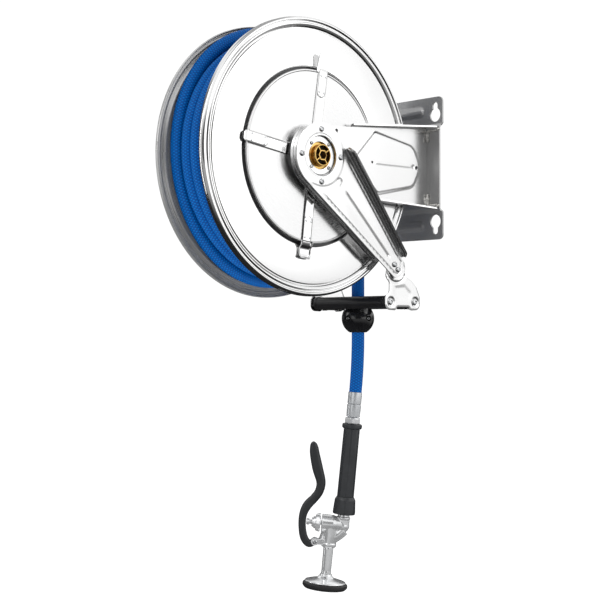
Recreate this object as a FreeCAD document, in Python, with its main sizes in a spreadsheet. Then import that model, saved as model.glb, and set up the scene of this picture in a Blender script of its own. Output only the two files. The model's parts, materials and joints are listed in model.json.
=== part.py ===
import FreeCAD, Part
import math
import os
import Sketcher

# Spring-rewind hose reel on a wall bracket, with a roller hose guide and a hand spray gun.
# Frame: origin at the centre of the wall plate's back face, +Y into the wall, +Z up,
# X along the drum axle with the water inlet on the +X side. Millimetres.

Vector = FreeCAD.Vector
X_AXIS = Vector(1, 0, 0)
Y_AXIS = Vector(0, 1, 0)
Z_AXIS = Vector(0, 0, 1)

SIZES = {
    # drum
    "wall_gap": 258, "drum_mid": 11, "disc_radius": 215, "disc_half_gap": 54, "sheet_thick": 1.5,
    "rim_inner": 200, "rim_rise": 2.8, "rim_curl": 5, "ring_radius": 138, "core_radius": 134,
    "dish_half": 59.5, "dish_skirt": 14, "coil_radius": 188.5, "strap_width": 21, "strap_thick": 1.2,
    "strap_turn": 7, "strap_start": 53, "strap_stop": 131, "clip_stop": 157, "rivet_radius": 1.6,
    "rivet_rise": 0.9, "end_plate_length": 44,
    # hub, bearings and inlet swivel
    "journal_radius": 34, "journal_bore": 26, "bush_radius": 38, "cup_radius": 42, "hub_bolt_circle": 80.6,
    "hub_hole": 61.4, "hub_screw": 2.5, "running_gap": 0.05, "inlet_radius": 16.6, "inlet_front": 93,
    "swivel_flange_radius": 30, "swivel_screw_circle": 48, "stem_radius": 8, "stem_bore": 5.5,
    # wall plate
    "plate_width": 212, "plate_height": 235.2, "plate_thick": 3, "plate_joggle": 4.5, "strip_width": 206,
    "tab_start": 74, "tab_bend": 8, "plate_corner": 8, "key_spacing_x": 180, "key_spacing_z": 176,
    "key_big": 23, "key_slot": 11, "key_travel": 15.5,
    # support arms and guide arms
    "web_outer": 76.6, "web_thick": 2.5, "arm_head": 47, "arm_half_wall": 63.5, "arm_flange_hub": 2,
    "arm_flange_wall": 22, "guide_outer": 89.5, "guide_head": 50, "guide_tip": 15.5, "guide_tip_y": 165,
    "guide_tip_z": -167, "guide_flange_in": 13, "guide_flange_top": 22, "guide_flange_low": 16,
    # roller guide and stop ball
    "hose_y": 180.5, "hose_x": -15.5, "roller_spacing": 56, "roller_z": -221.5, "roller_radius": 10.2,
    "roller_flare": 11.3, "roller_half": 84.2, "roller_pin": 4, "short_roller_radius": 6.5,
    "short_roller_half": 12, "short_roller_x": 76, "short_roller_drop": 5, "short_pin": 2.5,
    "ball_radius": 27, "ball_drop": 25.5,
    # hose and gun
    "hose_radius": 10.5, "hose_start": -92, "hose_bend_z": -276, "ferrule_z": -369.3, "gun_tilt": 5.5,
    "view_turn": 47.84, "gun_offset": -20,
    # ratchet and rewind spring
    "pawl_across": 88, "pawl_up": -34, "pawl_length": 38, "pawl_lean": 25, "pawl_boss": 7, "pawl_thick": 3,
    "pawl_pin_radius": 3, "pawl_spring_bend": 7.2, "pawl_spring_wire": 0.5, "pawl_spring_wrap": 210,
    "pawl_spring_leg": 12, "ratchet_root": 52, "ratchet_tip": 60.5, "ratchet_teeth": 24, "ratchet_thick": 4,
    "ratchet_bore": 46, "case_radius": 126, "case_depth": 17, "case_wall": 1.5, "spring_start": 48,
    "spring_half_turns": 20, "spring_pitch": 7, "spring_strip": 1, "spring_strip_width": 12.5,
    # pressed details of the arms
    "lip_start": 62, "lip_gap": 0.2, "web_hole_y": 43.7, "web_hole_z": 43, "web_hole": 3.5,
    "crease_hole_y": 119.5, "crease_hole": 3.4, "tip_screw_in": -7.5, "tip_screw_out": 3.5, "skirt_end": 42, "guide_lip_start": 17,
    "guide_lip_end": 32, "end_plate_head": 20, "end_plate_lobe": 11, "end_plate_web": 7, "ear_gap": 1.2,
    "ear_thick": 2, "ear_rise": 6,
    # journals, bearing cups and stem
    "journal_flange_radius": 45, "journal_flange_thick": 2.3, "journal_depth_near": 27, "journal_depth_far": 45,
    "spacer_radius": 46, "spacer_bore": 33, "cup_depth_near": 22, "cup_depth_far": 30, "swivel_seat_radius": 20,
    "swivel_plate_thick": 3, "stem_block": 26, "stem_block_start": 16, "stem_spout_radius": 7,
    "stem_spout_bore": 4.5, "stem_post_radius": 12, "spider_thick": 2.5,
}

document = FreeCAD.newDocument("hose_reel")
sheet = document.addObject("Spreadsheet::Sheet", "Sizes")
for row_number, (alias, amount) in enumerate(SIZES.items(), start=1):
    sheet.set("A%d" % row_number, alias)
    sheet.set("B%d" % row_number, str(amount))
    sheet.setAlias("B%d" % row_number, alias)
document.recompute()

nodes = []

SEAL_PLACES = (50, 62)  # along the axle, inside the inlet swivel


def size(alias):
    """The value of one driving dimension."""
    return float(getattr(sheet, alias))


def worked(formula):
    """The value of a formula over the driving dimensions."""
    return float(sheet.evalExpression(formula))


def keep(item, label):
    """List an object as one of the finished sub-parts."""
    item.Label = label
    nodes.append(item)
    return item


def placed(base=(0, 0, 0), turn=None):
    return FreeCAD.Placement(Vector(*base), turn or FreeCAD.Rotation())


# ---------------------------------------------------------------- parametric helpers


def origin_plane(body, role):
    return [plane for plane in body.Origin.OriginFeatures if plane.Role == role][0]


def new_sketch(body, role):
    sketch = body.newObject("Sketcher::SketchObject", body.Name + "_sketch")
    sketch.AttachmentSupport = [(origin_plane(body, role), "")]
    sketch.MapMode = "FlatFace"
    return sketch


def pin_point(sketch, geometry, point, formulas):
    """Tie one point of a sketch to a pair of formulas, measured from the sketch's origin."""
    for kind, formula in zip(("DistanceX", "DistanceY"), formulas):
        constraint = Sketcher.Constraint(kind, -1, 1, geometry, point, worked(formula))
        index = sketch.addConstraint(constraint)
        sketch.setExpression("Constraints[%d]" % index, formula)


def closed_outline(sketch, corners):
    """A closed outline of straight lines with every corner tied to its formulas."""
    first = sketch.GeometryCount
    spots = [Vector(worked(across), worked(up), 0) for across, up in corners]
    count = len(spots)
    for index in range(count):
        sketch.addGeometry(Part.LineSegment(spots[index], spots[(index + 1) % count]), False)
    for index in range(count):
        following = first + (index + 1) % count
        sketch.addConstraint(Sketcher.Constraint("Coincident", first + index, 2, following, 1))
    for index, formulas in enumerate(corners):
        pin_point(sketch, first + index, 1, formulas)


def hole_circle(sketch, centre, diameter):
    spot = Vector(worked(centre[0]), worked(centre[1]), 0)
    geometry = sketch.addGeometry(Part.Circle(spot, Z_AXIS, worked(diameter) / 2), False)
    index = sketch.addConstraint(Sketcher.Constraint("Diameter", geometry, worked(diameter)))
    sketch.setExpression("Constraints[%d]" % index, diameter)
    pin_point(sketch, geometry, 3, centre)


def turned(label, corners, placement=None):
    """A body turned about its own X axis; corners are (place along X, radius) formulas."""
    body = document.addObject("PartDesign::Body", label)
    sketch = new_sketch(body, "XY_Plane")
    closed_outline(sketch, corners)
    document.recompute()
    revolution = body.newObject("PartDesign::Revolution", label + "_turn")
    revolution.Profile = sketch
    revolution.ReferenceAxis = (sketch, ["H_Axis"])
    revolution.Angle = 360
    body.Placement = placement or placed((0, -size("wall_gap"), 0))
    return body


def ring(label, start, stop, inner, outer, placement=None):
    """A plain turned ring or tube."""
    corners = [(start, inner), (stop, inner), (stop, outer), (start, outer)]
    return keep(turned(label, corners, placement), label)


def group(label, shapes, placement=None):
    """Separate solids that share one node."""
    feature = document.addObject("Part::Feature", label)
    feature.Shape = Part.makeCompound(shapes)
    if placement:
        feature.Placement = placement
    return keep(feature, label)


def drum_point(x, across, up):
    """A point given from the drum axis: across is towards the wall."""
    return Vector(x, across - size("wall_gap"), up)


# ---------------------------------------------------------------- shape helpers


def two_circle_outline(x, first, first_radius, second, second_radius):
    """The flat face, square to X, that wraps two circles and their outer tangents."""
    gap = second.sub(first)
    gap.x = 0
    heading = math.atan2(gap.z, gap.y)
    lean = math.asin((first_radius - second_radius) / gap.Length)
    points = []
    for centre, radius in ((first, first_radius), (second, second_radius)):
        for side in (1, -1):
            angle = heading + side * (math.pi / 2 - lean)
            points.append(Vector(x, centre.y + radius * math.cos(angle), centre.z + radius * math.sin(angle)))
    back = Vector(x, first.y - first_radius * math.cos(heading), first.z - first_radius * math.sin(heading))
    reach = Vector(0, math.cos(heading), math.sin(heading)) * second_radius
    front = Vector(x, second.y, second.z) + reach
    edges = [
        Part.Arc(points[0], back, points[1]).toShape(),
        Part.LineSegment(points[1], points[3]).toShape(),
        Part.Arc(points[3], front, points[2]).toShape(),
        Part.LineSegment(points[2], points[0]).toShape(),
    ]
    return Part.Face(Part.Wire(edges)), points


def plate_between(points, direction):
    """A flat plate from its outline, thickened along a direction."""
    return Part.Face(Part.makePolygon(points + points[:1])).extrude(direction)


def bore(shape, centre, radius, length=400.0):
    """Cut a round hole along X through a shape."""
    start = Vector(centre.x - length / 2, centre.y, centre.z)
    return shape.cut(Part.makeCylinder(radius, length, start, X_AXIS))


def screw_x(head_at, across, up, shank_radius, shank_length, side):
    """A pan-head screw along X; its head's underside is at head_at and its shank points inwards."""
    outward = X_AXIS * side
    base = drum_point(head_at, across, up)
    head = Part.makeCylinder(shank_radius * 1.75, shank_radius * 1.1, base, outward)
    shank = Part.makeCylinder(shank_radius, shank_length, base, outward * -1)
    return head.fuse(shank).removeSplitter()


def mirror_x(shape):
    return shape.mirror(Vector(0, 0, 0), X_AXIS)


# ---------------------------------------------------------------- wall bracket


def build_wall_plate():
    """Pressed plate: two tabs on the wall, a strip between them that stands off, four keyholes."""
    body = document.addObject("PartDesign::Body", "wall_plate")
    thick, joggle = "Sizes.plate_thick", "Sizes.plate_joggle"
    top, start = "Sizes.plate_height / 2", "Sizes.tab_start"
    knee = "(Sizes.tab_start - Sizes.tab_bend)"
    front = [("0", top), ("-" + thick, top), ("-" + thick, start), ("-%s - %s" % (thick, joggle), knee)]
    front += [(across, "-(" + up + ")") for across, up in reversed(front)]
    rear = [("0", "-" + start), ("-" + joggle, "-" + knee), ("-" + joggle, knee), ("0", start)]
    section = new_sketch(body, "YZ_Plane")
    closed_outline(section, front + rear)
    document.recompute()
    pad = body.newObject("PartDesign::Pad", "plate_pad")
    pad.Profile = section
    pad.SideType = "Symmetric"
    pad.setExpression("Length", "Sizes.plate_width")
    document.recompute()
    pockets = []
    for side in ("", "-"):
        sketch = new_sketch(body, "XZ_Plane")
        edge, strip = side + "Sizes.plate_width", side + "Sizes.strip_width / 2"
        closed_outline(sketch, [(edge, "-" + start), (edge, start), (strip, start), (strip, "-" + start)])
        pockets.append(sketch)
    for kind in ("big", "slot", "neck"):
        sketch = new_sketch(body, "XZ_Plane")
        for across in ("Sizes.key_spacing_x / 2", "-Sizes.key_spacing_x / 2"):
            for sign in ("", "-"):
                big = sign + "Sizes.key_spacing_z / 2"
                end = sign + "(Sizes.key_spacing_z / 2 + Sizes.key_travel)"
                if kind == "big":
                    hole_circle(sketch, (across, big), "Sizes.key_big")
                elif kind == "slot":
                    hole_circle(sketch, (across, end), "Sizes.key_slot")
                else:
                    left, right = across + " - Sizes.key_slot / 2", across + " + Sizes.key_slot / 2"
                    closed_outline(sketch, [(left, big), (right, big), (right, end), (left, end)])
        pockets.append(sketch)
    for sketch in pockets:
        pocket = body.newObject("PartDesign::Pocket", "plate_cut")
        pocket.Profile = sketch
        pocket.SideType = "Symmetric"
        pocket.Type = "Length"
        pocket.Length = 60
        document.recompute()
    corners = []
    for number, edge in enumerate(body.Shape.Edges, start=1):
        middle = edge.CenterOfMass
        upright = edge.BoundBox.YLength > 1 and edge.BoundBox.ZLength < 0.01 and edge.BoundBox.XLength < 0.01
        outer = abs(middle.x) > size("plate_width") / 2 - 0.1
        outer = outer and abs(middle.z) > size("plate_height") / 2 - 0.1
        if upright and outer:
            corners.append("Edge%d" % number)
    last_cut = body.Tip
    fillet = body.newObject("PartDesign::Fillet", "plate_corners")
    fillet.Base = (last_cut, corners)
    fillet.setExpression("Radius", "Sizes.plate_corner")
    body.Tip = fillet
    return keep(body, "wall_plate")


def support_arm():
    """Near support arm: round head on the drum axis, tapering up to the wall plate, lips turned out."""
    outer, thick = size("web_outer"), size("web_thick")
    reach = size("wall_gap") - size("plate_joggle") - size("plate_thick")
    head, rise = size("arm_head"), size("arm_half_wall")
    lean = math.atan2(rise - head, reach)
    corner = [(head * math.sin(-lean), head * math.cos(lean)), (reach, rise)]
    left = [drum_point(outer, across, up) for across, up in corner]
    right = [drum_point(outer, across, -up) for across, up in corner]
    edges = [
        Part.LineSegment(left[0], left[1]).toShape(),
        Part.LineSegment(left[1], right[1]).toShape(),
        Part.LineSegment(right[1], right[0]).toShape(),
        Part.Arc(right[0], drum_point(outer, -head, 0), left[0]).toShape(),
    ]
    arm = Part.Face(Part.Wire(edges)).extrude(X_AXIS * -thick)
    lip_start, lip_stop = size("lip_start"), reach - size("lip_gap")
    for sign in (1, -1):
        begin = (lip_start, head + (lip_start + head * math.sin(lean)) * math.tan(lean))
        lip = [(begin[0], begin[1], 0), (lip_stop, rise, 0), (lip_stop, rise, size("arm_flange_wall"))]
        lip.append((begin[0], begin[1], size("arm_flange_hub")))
        points = []
        for across, up, out in lip:
            face = outer + out if out else outer - thick
            points.append(drum_point(face, across, up * sign))
        arm = arm.fuse(plate_between(points, Vector(0, math.sin(lean), -math.cos(lean) * sign) * thick))
    arm = bore(arm, drum_point(outer, 0, 0), size("journal_bore"))
    for across, up in hub_bolts():
        arm = bore(arm, drum_point(outer, across, up), size("hub_screw") + 0.1)
    arm = bore(arm, drum_point(outer, size("web_hole_y"), size("web_hole_z")), size("web_hole"), 8)
    arm = bore(arm, drum_point(outer, size("crease_hole_y"), 0), size("crease_hole"))
    return arm.removeSplitter()


def hub_bolts():
    radius = size("hub_bolt_circle") / 2
    return [(radius * math.cos(math.radians(a)), radius * math.sin(math.radians(a))) for a in (0, 90, 180, 270)]


def tip_screws():
    """The two screws that hold a roller end plate on the guide arm's tip, along the arm's centre line."""
    across, up = size("guide_tip_y"), size("guide_tip_z")
    length = math.hypot(across, up)
    spots = []
    for step in (size("tip_screw_in"), size("tip_screw_out")):
        spots.append((across * (1 + step / length), up * (1 + step / length)))
    return spots


def guide_arm():
    """Near guide arm: round head over the hub, straight arm down to a small round tip, pressed lips."""
    outer, thick = size("guide_outer"), size("web_thick")
    head = drum_point(outer, 0, 0)
    tip = drum_point(outer, size("guide_tip_y"), size("guide_tip_z"))
    face, points = two_circle_outline(outer, head, size("guide_head"), tip, size("guide_tip"))
    arm = face.extrude(X_AXIS * -thick)
    wall_side, room_side = points[0], points[1]
    wall_end, room_end = points[2], points[3]
    inward = size("guide_flange_in")
    along = room_end.sub(room_side).normalize()
    inner_normal = Vector(0, -along.z, along.y)
    if inner_normal.dot(head.sub(room_side)) < 0:
        inner_normal = inner_normal * -1
    skirt_end = room_side + along * (room_end.sub(room_side).Length - size("skirt_end"))
    fold = X_AXIS * -(inward + thick)
    skirt = [room_side, skirt_end, skirt_end + fold, room_side + fold]
    arm = arm.fuse(plate_between(skirt, inner_normal * thick))
    shell = Part.makeCylinder(size("guide_head"), inward + thick, head, X_AXIS * -1)
    shell = shell.cut(Part.makeCylinder(size("guide_head") - thick, inward + thick, head, X_AXIS * -1))
    keep_side = Part.makeBox(60, 200, 200, Vector(outer - 55, head.y - 200, head.z - 100))
    arm = arm.fuse(shell.common(keep_side))
    along = wall_end.sub(wall_side).normalize()
    inner_normal = Vector(0, -along.z, along.y)
    if inner_normal.dot(head.sub(wall_side)) < 0:
        inner_normal = inner_normal * -1
    start, stop = wall_side + along * size("guide_lip_start"), wall_end + along * -size("guide_lip_end")
    lip = [start + X_AXIS * -thick, stop + X_AXIS * -thick]
    lip += [stop + X_AXIS * size("guide_flange_low"), start + X_AXIS * size("guide_flange_top")]
    arm = arm.fuse(plate_between(lip, inner_normal * thick))
    arm = bore(arm, head, size("hub_hole") / 2)
    for across, up in hub_bolts():
        arm = bore(arm, drum_point(outer, across, up), size("hub_screw") + 0.1)
    for across, up in tip_screws():
        arm = bore(arm, drum_point(outer, across, up), size("hub_screw") + 0.1)
    return arm.removeSplitter()


def roller_end_plate():
    """Near roller end plate: a round head on the arm's tip, two lower lobes and two turned-in ears."""
    outer, thick = size("guide_outer") - size("web_thick"), size("web_thick")
    half, low = size("roller_spacing") / 2, size("roller_z")
    top = drum_point(outer, size("guide_tip_y"), size("guide_tip_z"))
    plate = None
    for side in (-1, 1):
        lobe = drum_point(outer, size("hose_y") + side * half, low)
        face, _ = two_circle_outline(outer, top, size("end_plate_head"), lobe, size("end_plate_lobe"))
        piece = face.extrude(X_AXIS * -thick)
        plate = piece if plate is None else plate.fuse(piece)
    foot = low - size("end_plate_web")
    web = [(-half, low), (half, low), (half, foot), (-half, foot)]
    web = [drum_point(outer, size("hose_y") + across, up) for across, up in web]
    plate = plate.fuse(plate_between(web, X_AXIS * -thick))
    ear_drop = low - size("short_roller_drop")
    for side in (-1, 1):
        across = size("hose_y") + side * (size("short_roller_half") + size("ear_gap"))
        beyond, crest = across + side * size("ear_thick"), low + size("ear_rise")
        ear = [(across, foot), (beyond, foot), (beyond, crest), (across, crest)]
        ear_points = [drum_point(outer - thick, spot, up) for spot, up in ear]
        ear_depth = outer - thick - size("short_roller_x") + size("ear_rise")
        plate = plate.fuse(plate_between(ear_points, X_AXIS * -ear_depth))
    pin_base = drum_point(size("short_roller_x"), size("hose_y") - 40, ear_drop)
    plate = plate.cut(Part.makeCylinder(size("short_pin") + 0.02, 80, pin_base, Y_AXIS))
    for side in (-1, 1):
        plate = bore(plate, drum_point(outer, size("hose_y") + side * half, low), size("roller_pin") + 0.1)
    for across, up in tip_screws():
        plate = bore(plate, drum_point(outer, across, up), size("hub_screw") + 0.1)
    return plate.removeSplitter()


def build_bracket():
    build_wall_plate()
    for label, shape in (("support_arm", support_arm()), ("guide_arm", guide_arm()),
                         ("roller_end_plate", roller_end_plate())):
        group(label + "_near", [shape])
        far = mirror_x(shape)
        if label == "support_arm":
            pivot = drum_point(-size("web_outer"), size("pawl_across"), size("pawl_up"))
            far = bore(far, pivot, 3.02, 20)
        group(label + "_far", [far])


# ---------------------------------------------------------------- hub and inlet


def build_hub():
    """Fixed journals on both support arms, spacer rings under the guide arms, and their screws."""
    inner = size("web_outer") - size("web_thick")
    bolts = hub_bolts()
    spacers = []
    for side, label in ((1, "near"), (-1, "far")):
        depth = size("journal_depth_" + label)
        foot = drum_point(side * inner, 0, 0)
        flange_radius, flange_thick = size("journal_flange_radius"), size("journal_flange_thick")
        flange = Part.makeCylinder(flange_radius, flange_thick, foot, X_AXIS * -side)
        tube = Part.makeCylinder(size("journal_radius"), depth, foot, X_AXIS * -side)
        journal = bore(flange.fuse(tube), drum_point(0, 0, 0), size("journal_bore"))
        for across, up in bolts:
            journal = bore(journal, drum_point(0, across, up), size("hub_screw"))
        group("hub_journal_" + label, [journal.removeSplitter()])
        gap = size("guide_outer") - size("web_thick") - size("web_outer")
        seat = drum_point(side * size("web_outer"), 0, 0)
        spacer = Part.makeCylinder(size("spacer_radius"), gap, seat, X_AXIS * side)
        spacer = bore(spacer, drum_point(0, 0, 0), size("spacer_bore"))
        for across, up in bolts:
            spacer = bore(spacer, drum_point(0, across, up), size("hub_screw") + 0.1)
        spacers.append(spacer)
    screws = []
    for side in (1, -1):
        for across, up in bolts:
            screws.append(screw_x(side * size("guide_outer"), across, up, size("hub_screw") - 0.1, 17.3, side))
    for side in (1, -1):
        for across, up in tip_screws():
            screws.append(screw_x(side * size("guide_outer"), across, up, size("hub_screw") - 0.1, 8, side))
    group("bracket_screws", screws)
    group("hub_spacers", spacers)


def build_inlet():
    """Brass inlet swivel on a bolted flange, its seals, and the turning stem that feeds the drum."""
    seat, flange_thick = size("web_outer"), size("swivel_plate_thick")
    flange = Part.makeCylinder(size("swivel_flange_radius"), flange_thick, drum_point(seat, 0, 0), X_AXIS)
    flange = bore(flange, drum_point(0, 0, 0), size("swivel_seat_radius") + size("running_gap"))
    spots = []
    for angle in (45, 135, 225, 315):
        radius = size("swivel_screw_circle") / 2
        spots.append((radius * math.cos(math.radians(angle)), radius * math.sin(math.radians(angle))))
    for across, up in spots:
        flange = bore(flange, drum_point(0, across, up), 1.6)
    group("swivel_flange", [flange])
    screws = [screw_x(seat + flange_thick, across, up, 1.5, 3.0, 1) for across, up in spots]
    group("swivel_screws", screws)
    front, outer = "Sizes.inlet_front", "Sizes.inlet_radius"
    gland = "Sizes.stem_radius + Sizes.running_gap"
    groove = "Sizes.stem_radius + 2"
    corners = []
    for seal in SEAL_PLACES:
        corners += [(str(seal - 1.2), gland), (str(seal - 1.2), groove), (str(seal + 1.2), groove),
                    (str(seal + 1.2), gland)]
    corners.reverse()
    corners += [("40", gland), ("40", "20"), ("Sizes.web_outer + 3", "20"), ("Sizes.web_outer + 3", "21"),
               ("Sizes.web_outer + 6", "21"), ("Sizes.web_outer + 6", outer), (front, outer),
               (front, outer + " - 1.8"), ("Sizes.web_outer + 7", outer + " - 1.8"), ("Sizes.web_outer + 7", gland)]
    ring_body = turned("inlet_shell", corners)
    document.recompute()
    swivel = ring_body.Shape.copy()
    hexagon = []
    for radius in (8.6, 6.6):
        corners = [drum_point(size("inlet_front") - 9, radius * math.cos(a * math.pi / 3),
                              radius * math.sin(a * math.pi / 3)) for a in range(6)]
        hexagon.append(plate_between(corners, X_AXIS * 8.6))
    spider = hexagon[0].cut(hexagon[1])
    for turn in range(4):
        rib = Part.makeBox(8.6, 8.2, 1.4, Vector(0, 7.2, -0.7))
        rib.rotate(Vector(0, 0, 0), X_AXIS, 90 * turn + 35)
        rib.translate(drum_point(size("inlet_front") - 9, 0, 0))
        spider = spider.fuse(rib)
    document.removeObject(ring_body.Name)
    group("inlet_swivel", [swivel.fuse(spider).removeSplitter()])
    seals = []
    for seal in SEAL_PLACES:
        seals.append(Part.makeTorus(size("stem_radius") + 1, 0.93, drum_point(seal, 0, 0), X_AXIS))
    group("swivel_seals", seals)


def build_stem():
    """Turning stem inside the swivel: a tube, an elbow block and the spout that carries the feed hose."""
    radius, hole = size("stem_radius"), size("stem_bore")
    start, block_start = size("web_outer") + 5, size("stem_block_start")
    tube = Part.makeCylinder(radius, start - block_start, drum_point(block_start, 0, 0), X_AXIS)
    cube = size("stem_block")
    block = Part.makeBox(cube, cube, cube, drum_point(block_start - cube + 2, -cube / 2, -cube / 2))
    spout = Part.makeCylinder(size("stem_spout_radius"), 40, drum_point(block_start - 11, 0, 12), Z_AXIS)
    spider_x = size("drum_mid") - size("dish_half") + 30
    spider = Part.makeCylinder(size("cup_radius"), size("spider_thick"), drum_point(spider_x, 0, 0), X_AXIS)
    post_length = block_start - cube + 2 - spider_x
    post = Part.makeCylinder(size("stem_post_radius"), post_length, drum_point(spider_x, 0, 0), X_AXIS)
    stem = tube.fuse([block, spout, spider, post])
    elbow = drum_point(block_start - 11, 0, 0)
    stem = stem.cut(Part.makeCylinder(hole, start - block_start + 20, elbow, X_AXIS))
    stem = stem.cut(Part.makeCylinder(size("stem_spout_bore"), 60, elbow, Z_AXIS))
    group("swivel_stem", [stem.removeSplitter()])
    hose = Part.makeCylinder(size("hose_radius"), 103.5, drum_point(block_start - 11, 0, 30), Z_AXIS)
    hose = hose.cut(Part.makeCylinder(7.1, 103.5, drum_point(block_start - 11, 0, 30), Z_AXIS))
    group("feed_hose", [hose])


# ---------------------------------------------------------------- drum


def build_discs():
    """Two dished side discs with a raised, curled rim; the inner edge leaves a gap round the core."""
    for side, label in (("", "near"), ("-", "far")):
        mid = "Sizes.drum_mid "
        plus = "- " if side else "+ "
        face, thick = "Sizes.disc_half_gap", "Sizes.sheet_thick"

        def along(formula):
            return mid + plus + "(" + formula + ")"

        bead = face + " + " + thick + " + Sizes.rim_rise"
        corners = [
            (along(face), "Sizes.ring_radius"), (along(face + " + " + thick), "Sizes.ring_radius"),
            (along(face + " + " + thick), "Sizes.rim_inner"), (along(bead), "Sizes.rim_inner + 4"),
            (along(bead), "Sizes.disc_radius - 3"), (along(face + " + 1"), "Sizes.disc_radius"),
            (along(face + " - Sizes.rim_curl"), "Sizes.disc_radius"),
            (along(face + " - Sizes.rim_curl"), "Sizes.disc_radius - " + thick),
            (along(face), "Sizes.disc_radius - " + thick),
            (along(bead + " - " + thick), "Sizes.disc_radius - 4"),
            (along(bead + " - " + thick), "Sizes.rim_inner + 5"), (along(face), "Sizes.rim_inner + 1"),
        ]
        keep(turned("drum_disc_" + label, corners), "drum_disc_" + label)


def build_core():
    """Core tube, a dished cap at each end with its bearing cup, and the two plain bushes."""
    thick = "Sizes.sheet_thick"
    core, inner = "Sizes.core_radius", "Sizes.core_radius - Sizes.sheet_thick"
    reach = "Sizes.dish_half - Sizes.dish_skirt"
    mid = "Sizes.drum_mid"
    gap = "Sizes.journal_radius + Sizes.running_gap"
    tube = turned("core_tube", [(mid + " - (" + reach + ")", inner), (mid + " + " + reach, inner),
                                (mid + " + " + reach, core), (mid + " - (" + reach + ")", core)])
    document.recompute()
    shape = tube.Shape.copy()
    document.removeObject(tube.Name)
    shape = shape.cut(Part.makeCylinder(12, 40, drum_point(5, 0, 120), Z_AXIS))
    group("drum_core", [shape])
    bushes = []
    for plus, minus, label in (("+", "-", "near"), ("-", "+", "far")):
        deep = "Sizes.cup_depth_" + label
        face = "%s %s Sizes.dish_half" % (mid, plus)
        back = "%s %s %s" % (face, minus, thick)
        skirt = "%s %s Sizes.dish_skirt" % (face, minus)
        cup = "%s %s %s" % (face, minus, deep)
        corners = [(face, "Sizes.bush_radius"), (face, core), (skirt, core), (skirt, inner), (back, inner),
                   (back, "Sizes.cup_radius"), (cup, "Sizes.cup_radius"), (cup, "Sizes.bush_radius")]
        keep(turned("drum_cap_" + label, corners), "drum_cap_" + label)
        bush = turned("bush", [(face, gap), (cup, gap), (cup, "Sizes.bush_radius"), (face, "Sizes.bush_radius")])
        document.recompute()
        bushes.append(bush.Shape.copy())
        document.removeObject(bush.Name)
    group("drum_bushes", bushes)


def radial(shape, angle):
    """Place a piece drawn along +Z from the drum axis at an angle about the axle."""
    turned_shape = shape.copy()
    turned_shape.rotate(Vector(0, 0, 0), X_AXIS, angle)
    turned_shape.translate(drum_point(0, 0, 0))
    return turned_shape


def build_straps():
    """Four clamp straps on the near cap, each with a riveted end plate and a clip over the disc's edge."""
    face = size("drum_mid") + size("dish_half")
    thick, width = size("strap_thick"), size("strap_width")
    plate_start = size("strap_stop") - size("end_plate_length") + 14
    straps, plates, rivets, clips = [], [], [], []
    disc_face = size("drum_mid") + size("disc_half_gap") + size("sheet_thick")
    for quarter in range(4):
        angle = quarter * 90 - size("strap_turn")
        bar = Part.makeBox(thick, width, size("strap_stop") - size("strap_start"),
                           Vector(face, -width / 2, size("strap_start")))
        plate = Part.makeBox(0.8, width - 2, size("end_plate_length") - 14,
                             Vector(face + thick, 1 - width / 2, plate_start))
        for across in (-5.5, 5.5):
            for up in (plate_start + 4, size("strap_stop") - 4):
                base = Vector(face + thick + 0.8, across, up)
                rivet = Part.makeCylinder(size("rivet_radius"), size("rivet_rise"), base, X_AXIS)
                rivets.append(radial(rivet, angle))
        clip = [(face, 131.2), (face + 2.8, 131.2), (face + 2.8, 151), (disc_face, size("clip_stop")),
                (disc_face, 142), (face, 140)]
        points = [Vector(along, 9 - width / 2, up) for along, up in clip]
        straps.append(radial(bar, angle))
        plates.append(radial(plate, angle))
        clips.append(radial(plate_between(points, Y_AXIS * (width - 18 + 8)), angle))
    group("clamp_straps", straps)
    group("strap_end_plates", plates)
    group("strap_rivets", rivets)
    group("disc_clips", clips)


def spiral_strip(x, start_radius, half_turns, pitch, thick, width):
    """A flat spiral spring of half circles about two centres half a pitch apart."""
    edges, inner_edges = [], []
    for number in range(half_turns):
        side = 1 if number % 2 == 0 else -1
        centre_across = 0.0 if side > 0 else pitch / 2
        radius = start_radius + number * pitch / 2
        for store, offset in ((edges, thick / 2), (inner_edges, -thick / 2)):
            reach = radius + offset
            spots = [drum_point(x, centre_across + reach * side, 0), drum_point(x, centre_across, reach * side),
                     drum_point(x, centre_across - reach * side, 0)]
            store.append(Part.Arc(*spots))
    wire = [edge.toShape() for edge in edges + inner_edges]
    for store_end in (0, -1):
        ends = []
        for store in (edges, inner_edges):
            ends.append(store[store_end].StartPoint if store_end == 0 else store[store_end].EndPoint)
        wire.append(Part.LineSegment(ends[0], ends[1]).toShape())
    face = Part.Face(Part.Wire(Part.__sortEdges__(wire)))
    return face.extrude(X_AXIS * width)


def build_spring_side():
    """Rewind spring in its case on the far cap, and the ratchet that holds the drum."""
    back = size("drum_mid") - size("dish_half")
    case = "Sizes.drum_mid - Sizes.dish_half"
    hole, rim, wall = "Sizes.ratchet_bore", "Sizes.case_radius", "Sizes.case_wall"
    mouth, floor = case + " - Sizes.case_depth", case + " - " + wall
    corners = [(case, hole), (case, rim), (mouth, rim), (mouth, rim + " - " + wall), (floor, rim + " - " + wall),
               (floor, hole)]
    keep(turned("spring_case", corners), "spring_case")
    ring("spring_cover", mouth + " - " + wall, mouth, hole, rim)
    strip_x = back - size("case_depth") + size("case_wall")
    strip = spiral_strip(strip_x, size("spring_start"), int(size("spring_half_turns")), size("spring_pitch"),
                         size("spring_strip"), size("spring_strip_width"))
    group("power_spring", [strip])
    build_ratchet(back - size("case_depth") - size("case_wall"))


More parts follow.
